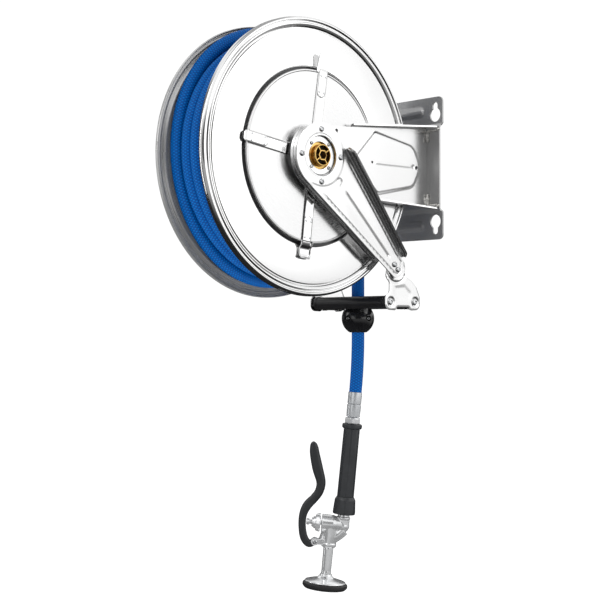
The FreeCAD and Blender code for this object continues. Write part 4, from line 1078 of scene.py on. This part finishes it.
def weld_bead(name, points, radius):
    """A row of overlapping weld ripples along a line of points, in metres."""
    verts, faces = [], []
    rows, columns = 7, 10
    for index, point in enumerate(points):
        size = radius * random.uniform(0.75, 1.2) * MM
        stretch = Vector([random.uniform(0.8, 1.2) for _ in range(3)])
        start = len(verts)
        for row in range(rows + 1):
            polar = math.pi * row / rows
            for column in range(columns):
                turn = 2 * math.pi * column / columns
                wide = math.sin(polar)
                spot = Vector((wide * math.cos(turn), wide * math.sin(turn), math.cos(polar)))
                bulge = 1 + 0.12 * math.sin(5 * turn + index) * wide
                verts.append(Vector(point) + Vector([spot[i] * stretch[i] * size * bulge for i in range(3)]))
        faces += ring_faces(rows + 1, columns, start=start)
    return make_piece(name, verts, faces, "weld", "bracket")


def build_welds():
    """Fillet welds that hold the support arms to the wall plate, inside the lips and along the webs."""
    parts = []
    for side in (1, -1):
        for sign in (1, -1):
            row = [at(side * (78.0 + 0.3 * i), 249.0 - 0.25 * i, sign * (58.5 - i * 2.3)) for i in range(7)]
            parts.append(weld_bead("weld", row, 2.6))
            row = [at(side * (80.0 + 2.4 * i), 249.6, sign * 61.2) for i in range(8)]
            parts.append(weld_bead("weld", row, 1.9))
            row = [at(side * (102.5 - 0.5 * i), 249.0, sign * (62.5 + i * 0.5)) for i in range(3)]
            parts.append(weld_bead("weld", row, 2.2))
        row = [at(side * 73.6, 249.8, -46 + 4.0 * i) for i in range(24)]
        parts.append(weld_bead("weld", row, 1.7))
    join("arm_welds", parts)


# ---------------------------------------------------------------- hose, rollers and ball

COIL_PITCH = 21.2
COIL_STEPS = 84  # points in one turn
LAYERS = (145.1, 161.6, 178.0)
LOOSE_TURNS, WOUND_TURNS = 1.3, 3.25


def coil_point(x, radius, turn):
    return at(x, radius * math.cos(turn), radius * math.sin(turn))


def build_coil():
    """Hose on the core: two tight layers, loose turns by the far disc, and the layer that the run leaves."""
    parts = []
    low = DRUM_MID / MM - 2 * COIL_PITCH
    step = 2 * math.pi / COIL_STEPS
    for number, radius in enumerate(LAYERS[:2]):
        direction = 1 if number % 2 else -1
        path = [coil_point(low + COIL_PITCH * index / COIL_STEPS, radius, index * step * direction)
                for index in range(COIL_STEPS * 4 + 1)]
        parts.append(tube("coil_layer", path, HOSE_RADIUS * 0.985, "hose", "drum", segments=16))
    loose, wound = [], []
    steps = int(COIL_STEPS * LOOSE_TURNS)
    for index in range(steps + 1):
        turns = -LOOSE_TURNS + LOOSE_TURNS * index / steps
        turn = 2 * math.pi * turns
        wide = 182 + 6.25 * math.sin(turn) + 13.75 * math.sin(turn) ** 2
        hold = float(smooth_step(turns, -LOOSE_TURNS, -0.85) * (1 - smooth_step(turns, -0.22, 0.0)))
        radius = 163.0 + (wide - 163.0) * hold
        loose.append(coil_point(-33.4 + 7.0 * float(smooth_step(turns, -0.22, 0.0)), radius, turn))
    steps = int(COIL_STEPS * WOUND_TURNS)
    for index in range(steps + 1):
        turns = WOUND_TURNS * index / steps
        turn = 2 * math.pi * turns
        wave = 0.35 * math.sin(3 * turn + 1.0) + 0.3 * math.sin(1.7 * turn)
        swell = 5.0 * math.sin(turn / 2) ** 2 * float(smooth_step(turns, 0.05, 0.4))
        x = RUN_X + COIL_PITCH * turns + wave * 0.6
        wound.append(coil_point(x, LAYERS[2] + wave * 0.5 + swell, turn))
    parts.append(tube("coil_loose", loose, HOSE_RADIUS, "hose", "drum", segments=20))
    parts.append(tube("coil_outer", wound, HOSE_RADIUS, "hose", "drum", segments=24))
    join("hose_wound", parts, ["hose_coil"], sharpen=False)


def build_hose():
    """The run from the drum to the ball and the tail below it. The real run lengthens as hose is pulled; here
    it is a fixed tube.
    """
    top = BALL.z / MM + 25
    points = []
    for index in range(6):
        turn = math.radians(5 - index)
        points.append(coil_point(RUN_X, LAYERS[2], turn))
    for index in range(1, 61):
        up = top * index / 60
        across = LAYERS[2] + 2.5 * float(smooth_step(-up, 0, 60))
        points.append(at(RUN_X, across, up))
    # the hanging run and the tail use the darker copy of the hose cover, a painted shade
    run = tube("hose_to_ball", points, HOSE_RADIUS, "hose_shaded", None, ["hose_run"], segments=32)
    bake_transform(run)
    level = GUN_DOWN.cross(GUN_FACING).normalized()
    sign = -1 if level.x < 0 else 1
    level = Vector((sign * level.x, sign * level.y, 0)).normalized()
    tilt = math.acos(-GUN_DOWN.z)
    bend_start, bend_stop = -276.0, GUN_START.z / MM
    bend = (bend_start - bend_stop) / math.sin(tilt)
    points = [at(RUN_X, RUN_ACROSS, top + 1 - index * (top + 1 - bend_start) / 24) for index in range(24)]
    for index in range(25):
        angle = tilt * index / 24
        drop = Vector((0, 0, -bend * math.sin(angle) * MM))
        points.append(at(RUN_X, RUN_ACROSS, bend_start) + drop - level * bend * (1 - math.cos(angle)) * MM)
    tube("hose_below_ball", points, HOSE_RADIUS, "hose_shaded", "hose_end", ["hose_tail"], segments=32)


def pin_corners(low, high, radius):
    return [(low, 0.1), (low, radius), (high, radius), (high, 0.1)]


def long_roller_at(x, side):
    return at(x, RUN_ACROSS + side * LONG_ROLLER_SIDE, LONG_ROLLER_UP)


def short_roller_at(side):
    return at(side * SHORT_ROLLER_X, RUN_ACROSS, SHORT_ROLLER_UP)


def build_rollers():
    """Moulded rollers with flared ends, and the screws and pins that they turn on."""
    for side, label in ((-1, "room"), (1, "wall")):
        shape = [(-84.0, 4.1), (-84.0, 10.2, 1.2), (-82.6, 11.4, 1.2), (-79.4, 11.3, 1.0), (-76.4, 10.1, 2.5),
                 (76.4, 10.1, 2.5), (79.4, 11.3, 1.0), (82.6, 11.4, 1.2), (84.0, 10.2, 1.2), (84.0, 4.1)]
        node = "long_roller_" + label
        turned("roller_" + label, shape, long_roller_at(0, side), (1, 0, 0), "roller", node, [node], 64)
    for side, label in ((1, "near"), (-1, "far")):
        shape = [(-11.9, 2.6), (-11.9, 6.4, 0.8), (11.9, 6.4, 0.8), (11.9, 2.6)]
        node = "short_roller_" + label
        turned("cross_roller_" + label, shape, short_roller_at(side), (0, 1, 0), "roller", node, [node], 48)
    parts, heads = [], []
    for side in (-1, 1):
        parts.append(turned("pin", pin_corners(-87.5, 87.5, 3.9), long_roller_at(0, side), (1, 0, 0), "screw",
                            "bracket", (), 32))
        heads += [(long_roller_at(end * 86.4, side), (end, 0, 0)) for end in (-1, 1)]
    for side in (-1, 1):
        parts.append(turned("pin", pin_corners(-15.2, 15.2, 2.4), short_roller_at(side), (0, 1, 0), "screw",
                            "bracket", (), 24))
    parts.append(screws("pin_heads", heads, 5.2, 2.8, "screw", "bracket"))
    join("roller_pins_dressed", parts, ["roller_pins"])


def build_ball():
    """Two rubber halves with a seam between them, sunk screw holes and a dimple round the hose."""
    radius = 27.0
    level = GUN_FACING.cross(Vector((0, 0, 1))).normalized()
    up = Vector((0, 0, 1))
    for sign, label in ((1, "front"), (-1, "back")):
        verts = []
        rings, sectors = 46, 144
        way = GUN_FACING * sign
        for ring in range(rings + 1):
            polar = max(1e-4, math.radians(89.6) * ring / rings)
            for sector in range(sectors):
                turn = 2 * math.pi * sector / sectors
                u = radius * math.sin(polar) * math.cos(turn)
                v = radius * math.sin(polar) * math.sin(turn)
                w = radius * math.cos(polar)
                seam = 1 - 0.018 * float(1 - smooth_step(w, 0.1, 1.6))
                u, v = u * seam, v * seam
                w = 0.12 + w * (radius - 0.12) / radius
                if sign > 0:
                    hole = min(math.hypot(u - 17, v), math.hypot(u + 17, v))
                    w -= (w - 12.2) * float(1 - smooth_step(hole, 3.7, 4.5)) if w > 12.2 else 0
                spread = math.hypot(u, w)
                lip = float(1 - smooth_step(spread, 11.0, 14.0))
                v *= 1 - 0.10 * lip
                verts.append(BALL + (level * u + up * v + way * w) * MM)
        faces = ring_faces(rings + 1, sectors)
        faces.append(tuple(rings * sectors + s for s in range(sectors)))
        make_piece("ball_" + label, verts, faces, "ball", "hose_end", ["stop_ball_" + label])
    spots = [(BALL + (level * (s * 17.0) + GUN_FACING * 12.0) * MM, GUN_FACING) for s in (-1, 1)]
    screws("ball_screws_dressed", spots, 3.5, 2.4, "screw", "hose_end", ["ball_screws"], shank=20)


# ---------------------------------------------------------------- spray gun


def gun(down, across, facing=0.0):
    """A point of the spray gun in mm: down it, across it towards the wall, and towards its screw side."""
    return GUN_START + (GUN_DOWN * down + GUN_ACROSS * across + GUN_FACING * facing) * MM


def gun_lathe(name, corners, material, body, stands_for=(), offset=0.0, segments=96, shape=None):
    """A turned piece of the gun; shape(down, radius, angle) may change the radius round it."""
    path = rounded_path(corners, closed=True, steps=5)
    verts = []
    for turn in range(segments):
        angle = 2 * math.pi * turn / segments
        for down, radius in path:
            if shape:
                radius = shape(down, radius, angle)
            verts.append(gun(down, offset + radius * math.cos(angle), radius * math.sin(angle)))
    faces = ring_faces(segments, len(path), wrap=True)
    return make_piece(name, verts, faces, material, body, stands_for)


def flats(sides, apothem, phase=0.0):
    """Cuts a turned shape down to flat sides."""
    sector = 2 * math.pi / sides

    def shape(_, radius, angle):
        local = (angle - phase + sector / 2) % sector - sector / 2
        return min(radius, apothem / math.cos(local))

    return shape


def build_gun():
    def crimp(down, radius, angle):
        if 22 < down < 40 and radius > 10.9:
            return radius - 0.35 * (0.5 + 0.5 * math.cos(8 * angle))
        return radius

    gun_lathe("ferrule", [(0, 10.6), (0, 11.5, 0.8), (18.5, 11.5, 0.6), (19.3, 10.6, 0.4), (20.4, 10.6, 0.4),
                          (21.2, 11.8, 0.6), (40.4, 11.6, 1.3), (41.2, 9.2, 0.6), (42.2, 8.6, 0.3),
                          (42.3, 7.4), (51.9, 7.4), (51.9, 5), (38, 5), (38, 10.6)],
              "ferrule", "hose_end", ["hose_ferrule"], shape=crimp)
    gun_lathe("nut", [(42.5, 7.5), (42.5, 11.6, 0.3), (43.9, 13.9, 0.8), (50.8, 13.9, 0.8), (52.1, 11.8, 0.3),
                      (52.1, 7.5)],
              "chrome", "hose_end", ["swivel_nut"], segments=180, shape=flats(6, 12.1))
    gun_lathe("collar", [(52.3, 8), (52.3, 14.8, 0.8), (54.0, 16.5, 1.2), (58.8, 16.5, 1.4),
                         (60.7, 14.6, 0.8), (60.7, 8)], "grip", "gun", ["grip_collar"])
    gun_lathe("grip", [(60.9, 8), (60.9, 13.4, 0.6), (110, 13.7, 30), (173.4, 14.0, 0.5), (173.4, 8)],
              "grip", "gun", ["gun_grip"], segments=160, shape=flats(8, 13.05, math.pi / 8))
    gun_lathe("grip_end", [(173.6, 8), (173.6, 14.6, 0.6), (178.5, 17.2, 2.0), (199.0, 18.8, 0.8),
                           (202.3, 18.2, 0.8), (202.3, 8)],
              "grip", "gun", ["grip_cap"], segments=160, shape=flats(8, 17.3, math.pi / 8))
    build_valve()
    build_lever()
    gun_lathe("outlet_tube", [(259.3, 3), (259.3, 8.3, 0.4), (262, 8.4, 0.5), (298, 8.0, 1.5),
                              (303, 8.6, 0.4), (303, 3)], "chrome", "gun", ["spray_tube"], SPRAY_ACROSS)
    gun_lathe("head", [(303.1, 3), (303.1, 9.8, 0.8), (306.0, 10.6, 1.5), (309.6, 14.2, 3.0),
                       (312.2, 25.0, 4.0), (314.6, 33.4, 1.5), (316.9, 34.2, 0.6), (316.9, 3)],
              "chrome", "gun", ["spray_head"], SPRAY_ACROSS, 128)
    gun_lathe("head_ring", [(317.1, 12), (317.1, 34.6, 0.8), (319.0, 37.2, 1.5), (323.5, 37.2, 1.8),
                            (327.4, 33.6, 1.5), (327.4, 26.0, 0.8), (325.6, 24.6, 0.6), (325.6, 12)],
              "seal", "gun", ["spray_head_ring"], SPRAY_ACROSS, 128)


def remeshed(name, parts, voxel, rounds, body, stands_for, material):
    """Fuses overlapping closed parts into one cast skin with softened joints."""
    raw = join(name + "_raw", parts)
    solid = raw.modifiers.new("fuse", "REMESH")
    solid.mode = "VOXEL"
    solid.voxel_size = voxel
    soft = raw.modifiers.new("soft", "CORRECTIVE_SMOOTH")
    soft.smooth_type = "LENGTH_WEIGHTED"
    soft.use_only_smooth = True
    soft.iterations = rounds
    graph = bpy.context.evaluated_depsgraph_get()
    mesh = bpy.data.meshes.new_from_object(raw.evaluated_get(graph))
    mesh.polygons.foreach_set("use_smooth", [True] * len(mesh.polygons))
    mesh.materials.clear()
    bpy.data.objects.remove(raw)
    return placed(name, mesh, material, body, stands_for)


def gun_solid(spots, segments=64):
    """A closed round shape through (point, radius) stations in gun coordinates."""
    points = [gun(*spot) for spot, _ in spots]
    verts = []
    axis = (points[-1] - points[0]).normalized()
    first, second = axes_about(axis)
    for point, (_, radius) in zip(points, spots):
        for step in range(segments):
            angle = 2 * math.pi * step / segments
            verts.append(point + (first * math.cos(angle) + second * math.sin(angle)) * radius * MM)
    faces = ring_faces(len(points), segments)
    faces.append(tuple(range(segments)))
    faces.append(tuple((len(points) - 1) * segments + s for s in range(segments)))
    return make_piece("solid", verts, faces, "chrome", "gun")


def ball_stations(centre, radius, way=(1, 0, 0), count=12):
    spots = []
    for index in range(count + 1):
        angle = math.pi * index / count
        offset = -radius * math.cos(angle)
        spot = tuple(c + w * offset for c, w in zip(centre, way))
        spots.append((spot, max(0.05, radius * math.sin(angle))))
    return spots


def build_valve():
    """Cast valve body, bonnet with its rings, plunger, and the pin that the lever swings on."""
    parts = [
        gun_solid([((203, 0, 0), 9.6), ((206.5, 0, 0), 9.8), ((207.5, 0, 0), 11.4), ((209.5, 0, 0), 11.6),
                   ((211, 0, 0), 10.6), ((222, 0, 0), 10.8)]),
        gun_solid(ball_stations((222, 0, 0), 11.2)),
        gun_solid([((228, 2, 0), 9.8), ((236, -5, 0), 9.6), ((243, -14, 0), 9.5)]),
        gun_solid([((220, 0, 0), 10.8), ((220, -12, 0), 13.0), ((220, -16, 0), 14.3), ((220, -34, 0), 14.8),
                   ((220, -35, 0), 14.2)]),
        gun_solid([((221, -20, 0), 13.6), ((240, -19.5, 0), 12.6), ((252, -20, 0), 11.8),
                   ((253, -20, 0), 12.6), ((257, -20, 0), 12.4), ((259.3, -20, 0), 10.2)]),
        gun_solid([((236, -27, 0), 7.5), ((251.5, -32, 0), 6.5)]),
    ]
    for side in (-1, 1):
        ear = [((*LEVER_PIVOT, side * 5.7), 6.2), ((*LEVER_PIVOT, side * 8.7), 6.2)]
        parts.append(gun_solid(ear))
        parts.append(gun_solid([((249.5, -28, side * 7.2), 2.6), ((251.5, -43, side * 7.2), 1.7)], 24))
        parts.append(gun_solid([((253.0, -28, side * 7.0), 2.2), ((254.5, -42, side * 7.2), 1.6)], 24))
        parts.append(gun_solid([((247.0, -28, side * 7.0), 2.2), ((248.5, -42, side * 7.2), 1.6)], 24))
    remeshed("valve_casting", parts, 0.55 * MM, 6, "gun", ["valve_body"], "chrome")
    bonnet = [(-51.5, 6.2), (-51.5, 7.4, 0.6), (-49.0, 8.4, 0.6), (-48.4, 9.6, 0.4), (-45.5, 10.2, 0.6),
              (-44.6, 13.6, 0.8), (-39.4, 15.2, 0.8), (-37.2, 14.8, 0.5), (-37.2, 3.8),
              (-48.4, 3.8), (-48.4, 6.2)]
    turned("bonnet", bonnet, gun(VALVE_DOWN, 0), GUN_ACROSS, "chrome", "gun", ["valve_bonnet"], 96)
    plunger = [(-60.2, 0.1), (-60.2, 5.0, 1.2), (-57.0, 5.6, 0.8), (-55.6, 5.2, 0.4), (-55.0, 3.6, 0.4),
               (-11.8, 3.6), (-11.8, 0.1)]
    turned("plunger", plunger, gun(VALVE_DOWN, 0), GUN_ACROSS, "chrome", "plunger", ["valve_plunger"], 64)
    shank = pin_corners(-9.4, 9.2, 1.9)
    parts = [turned("lever_pin_shank", shank, gun(*LEVER_PIVOT), GUN_FACING, "screw", "gun", (), 32)]
    spots = [(gun(*LEVER_PIVOT, s * 8.8), GUN_FACING * s) for s in (-1, 1)]
    parts.append(screws("lever_pin_heads", spots, 3.8, 1.4, "screw", "gun"))
    join("lever_pin_dressed", parts, ["lever_pin"])


LEVER_SPINE = [
    (249.5, -39.0, 2.0), (*LEVER_PIVOT, 5.4), (256.0, -53.0, 6.2), (246.5, -62.0, 6.5), (227.5, -66.8, 6.2),
    (208.5, -66.8, 6.6), (193.5, -61.2, 7.6), (180.0, -50.5, 7.2), (168.0, -43.8, 7.3), (153.0, -42.6, 7.8),
    (132.0, -49.9, 8.9), (110.0, -56.6, 8.3), (98.0, -59.2, 7.2), (91.0, -60.7, 5.0), (87.6, -61.2, 1.2),
]


def build_lever():
    """Squeeze lever: a rounded bar swept along its spine, thicker towards its free end."""
    spine = [np.array(point, float) for point in LEVER_SPINE]
    dense = []
    for index in range(len(spine) - 1):
        p0, p1 = spine[max(index - 1, 0)], spine[index]
        p2, p3 = spine[index + 1], spine[min(index + 2, len(spine) - 1)]
        for step in range(10):
            t = step / 10
            dense.append(0.5 * (2 * p1 + (p2 - p0) * t + (2 * p0 - 5 * p1 + 4 * p2 - p3) * t * t
                                + (3 * p1 - p0 - 3 * p2 + p3) * t ** 3))
    dense.append(spine[-1])
    verts = []
    segments = 40
    count = len(dense)
    for index, (down, across, half) in enumerate(dense):
        ahead, behind = dense[min(index + 1, count - 1)], dense[max(index - 1, 0)]
        run = (ahead - behind)[:2]
        run = run / max(np.linalg.norm(run), 1e-9)
        normal = np.array([-run[1], run[0]])
        thick = 5.45 if index < 40 else 5.45 + 2.3 * float(smooth_step(index, 60, 95))
        thick *= min(1.0, max(0.25, half / 4.5))
        for step in range(segments):
            angle = 2 * math.pi * step / segments
            c, s = math.cos(angle), math.sin(angle)
            power = 0.72
            u = half * math.copysign(abs(c) ** power, c)
            w = thick * math.copysign(abs(s) ** power, s)
            verts.append(gun(down + normal[0] * u, across + normal[1] * u, w))
    faces = ring_faces(count, segments)
    faces.append(tuple(range(segments)))
    faces.append(tuple((count - 1) * segments + s for s in range(segments)))
    make_piece("lever_bar", verts, faces, "lever", "lever", ["gun_lever"])


# ---------------------------------------------------------------- stage, light and camera


def build_world():
    world = bpy.data.worlds.new("studio")
    world.use_nodes = True
    tree = world.node_tree
    tree.nodes.clear()

    def node(kind, inputs=None, **settings):
        return add_node(tree, kind, inputs, **settings)

    def math_node(operation, first, second):
        return node("Math", {0: first, 1: second}, operation=operation).outputs[0]

    def toward(direction, start, stop):
        """1 inside a soft patch round a direction, 0 outside it."""
        way = Vector(direction).normalized()
        dot = node("VectorMath", {0: place, 1: tuple(way)}, operation="DOT_PRODUCT").outputs["Value"]
        inputs = {0: dot, 1: start, 2: stop, 3: 0.0, 4: 1.0}
        return node("MapRange", inputs, interpolation_type="SMOOTHSTEP").outputs[0]

    place = node("TexCoord").outputs["Generated"]
    level = node("Value")
    level.outputs[0].default_value = 1.0
    bright = level.outputs[0]
    for direction, start, stop, share in DARK_PATCHES:
        scaled = math_node("MULTIPLY", toward(direction, start, stop), share)
        bright = math_node("MULTIPLY", bright, math_node("SUBTRACT", 1.0, scaled))
    for direction, start, stop, share in BRIGHT_PATCHES:
        bright = math_node("ADD", bright, math_node("MULTIPLY", toward(direction, start, stop), share))
    colour = node("CombineColor", {0: bright, 1: bright, 2: bright}).outputs[0]
    mirror = node("Background", {"Color": colour, "Strength": 1.0}).outputs[0]
    flat = node("Background", {"Color": (1, 1, 1, 1), "Strength": 0.75}).outputs[0]
    seen = node("Background", {"Color": (1, 1, 1, 1), "Strength": 1.05}).outputs[0]
    path = node("LightPath")
    first = node("MixShader", {0: path.outputs["Is Glossy Ray"], 1: flat, 2: mirror}).outputs[0]
    final = node("MixShader", {0: path.outputs["Is Camera Ray"], 1: first, 2: seen}).outputs[0]
    output = node("OutputWorld")
    tree.links.new(final, output.inputs[0])
    bpy.context.scene.world = world


DARK_PATCHES = [
    ((-0.74, -0.67, 0.0), 0.55, 0.86, 0.96),
    ((-0.75, 0.66, -0.1), 0.68, 0.88, 0.98),
    ((-0.3, -0.35, -0.9), 0.45, 0.80, 0.96),
    ((0.10, 0.99, -0.1), 0.93, 0.985, 0.9),
    ((0.74, -0.67, 0.1), 0.88, 0.96, 0.97),
    ((-0.2, 0.1, 0.97), 0.86, 0.95, 0.6),
    ((0.55, 0.0, 0.83), 0.95, 0.985, 0.9),
]
BRIGHT_PATCHES = [
    ((-0.62, -0.62, 0.48), 0.955, 0.985, 0.8),
    ((0.9, 0.42, 0.1), 0.80, 0.97, 0.15),
]


def area_light(name, place, target, width, height, power):
    data = bpy.data.lights.new(name, "AREA")
    data.shape = "RECTANGLE"
    data.size, data.size_y = width, height
    data.energy = power
    item = bpy.data.objects.new(name, data)
    item.location = place
    item.rotation_euler = (Vector(target) - Vector(place)).to_track_quat("-Z", "Y").to_euler()
    bpy.context.scene.collection.objects.link(item)


def build_stage():
    build_world()
    reach, level = 30.0, -1.95
    corners = [(reach * x, reach * y, level) for x, y in ((-1, -1), (1, -1), (1, 1), (-1, 1))]
    mesh = bpy.data.meshes.new("floor")
    mesh.from_pydata(corners, [], [(0, 1, 2, 3)])
    floor = bpy.data.objects.new("floor", mesh)
    g = Graph("pale_floor")
    fleck = g.noise(g.node("TexCoord").outputs["Object"], 3.0, 3.0)
    tone = g.ramp(fleck, [(0.3, grey(0.93)), (0.7, grey(0.95))])
    diffuse = g.node("BsdfDiffuse", {"Color": tone}).outputs[0]
    glow = g.node("Emission", {"Color": grey(1.0), "Strength": 0.5}).outputs[0]
    both = g.node("AddShader", {0: diffuse, 1: glow}).outputs[0]
    # painted reflection: in glossy rays the floor is replaced by a dim emitter, near-black close by and
    # brighter far in front, so the chrome shows dark reflections
    spot = g.node("TexCoord").outputs["Object"]
    away = g.node("VectorMath", {0: spot}, operation="LENGTH").outputs["Value"]
    ahead = g.node("SeparateXYZ", {"Vector": spot}).outputs["X"]
    far = g.node("MapRange", {0: away, 1: 3.0, 2: 6.0, 3: 0.0, 4: 1.0}).outputs[0]
    front = g.node("MapRange", {0: ahead, 1: 0.5, 2: 2.0, 3: 0.0, 4: 0.38}).outputs[0]
    dim_light = g.math("ADD", g.math("MULTIPLY", far, front), 0.012)
    dim = g.node("Emission", {"Color": grey(1.0), "Strength": dim_light}).outputs[0]
    mirrored = g.node("LightPath").outputs["Is Glossy Ray"]
    mixed = g.node("MixShader", {0: mirrored, 1: both, 2: dim}).outputs[0]
    g.tree.links.new(mixed, g.output.inputs[0])
    mesh.materials.append(g.material)
    bpy.context.scene.collection.objects.link(floor)
    centre = (0, -0.2, -0.25)
    area_light("key", (0.2, -2.8, 1.9), centre, 1.2, 1.2, 10)
    area_light("side", (2.6, 1.4, 0.9), centre, 1.0, 2.0, 5)
    area_light("strip", (-1.7, -1.9, 0.1), centre, 0.2, 2.0, 3)


def build_camera():
    data = bpy.data.cameras.new("camera")
    data.sensor_width = 36.0
    data.lens = 85.5
    data.clip_start = 0.05
    camera = bpy.data.objects.new("camera", data)
    azimuth, elevation = math.radians(47.836), math.radians(-1.286)
    back = Vector((math.sin(azimuth) * math.cos(elevation), -math.cos(azimuth) * math.cos(elevation),
                   math.sin(elevation)))
    camera.location = Vector((1.6739, -1.7373, -0.2695))
    camera.rotation_euler = back.to_track_quat("Z", "Y").to_euler()
    bpy.context.scene.collection.objects.link(camera)
    bpy.context.scene.camera = camera
    bpy.context.scene.view_settings.view_transform = "Standard"


# ---------------------------------------------------------------- build everything

dress_cad_nodes()
build_drum()
build_hub()
build_wall_plate()
for arm_side, arm_label in ((1, "near"), (-1, "far")):
    build_support_arm(arm_side, arm_label)
    build_guide_arm(arm_side, arm_label)
    build_end_plate(arm_side, arm_label)
build_welds()
build_coil()
build_hose()
build_rollers()
build_ball()
build_gun()
build_stage()
build_camera()
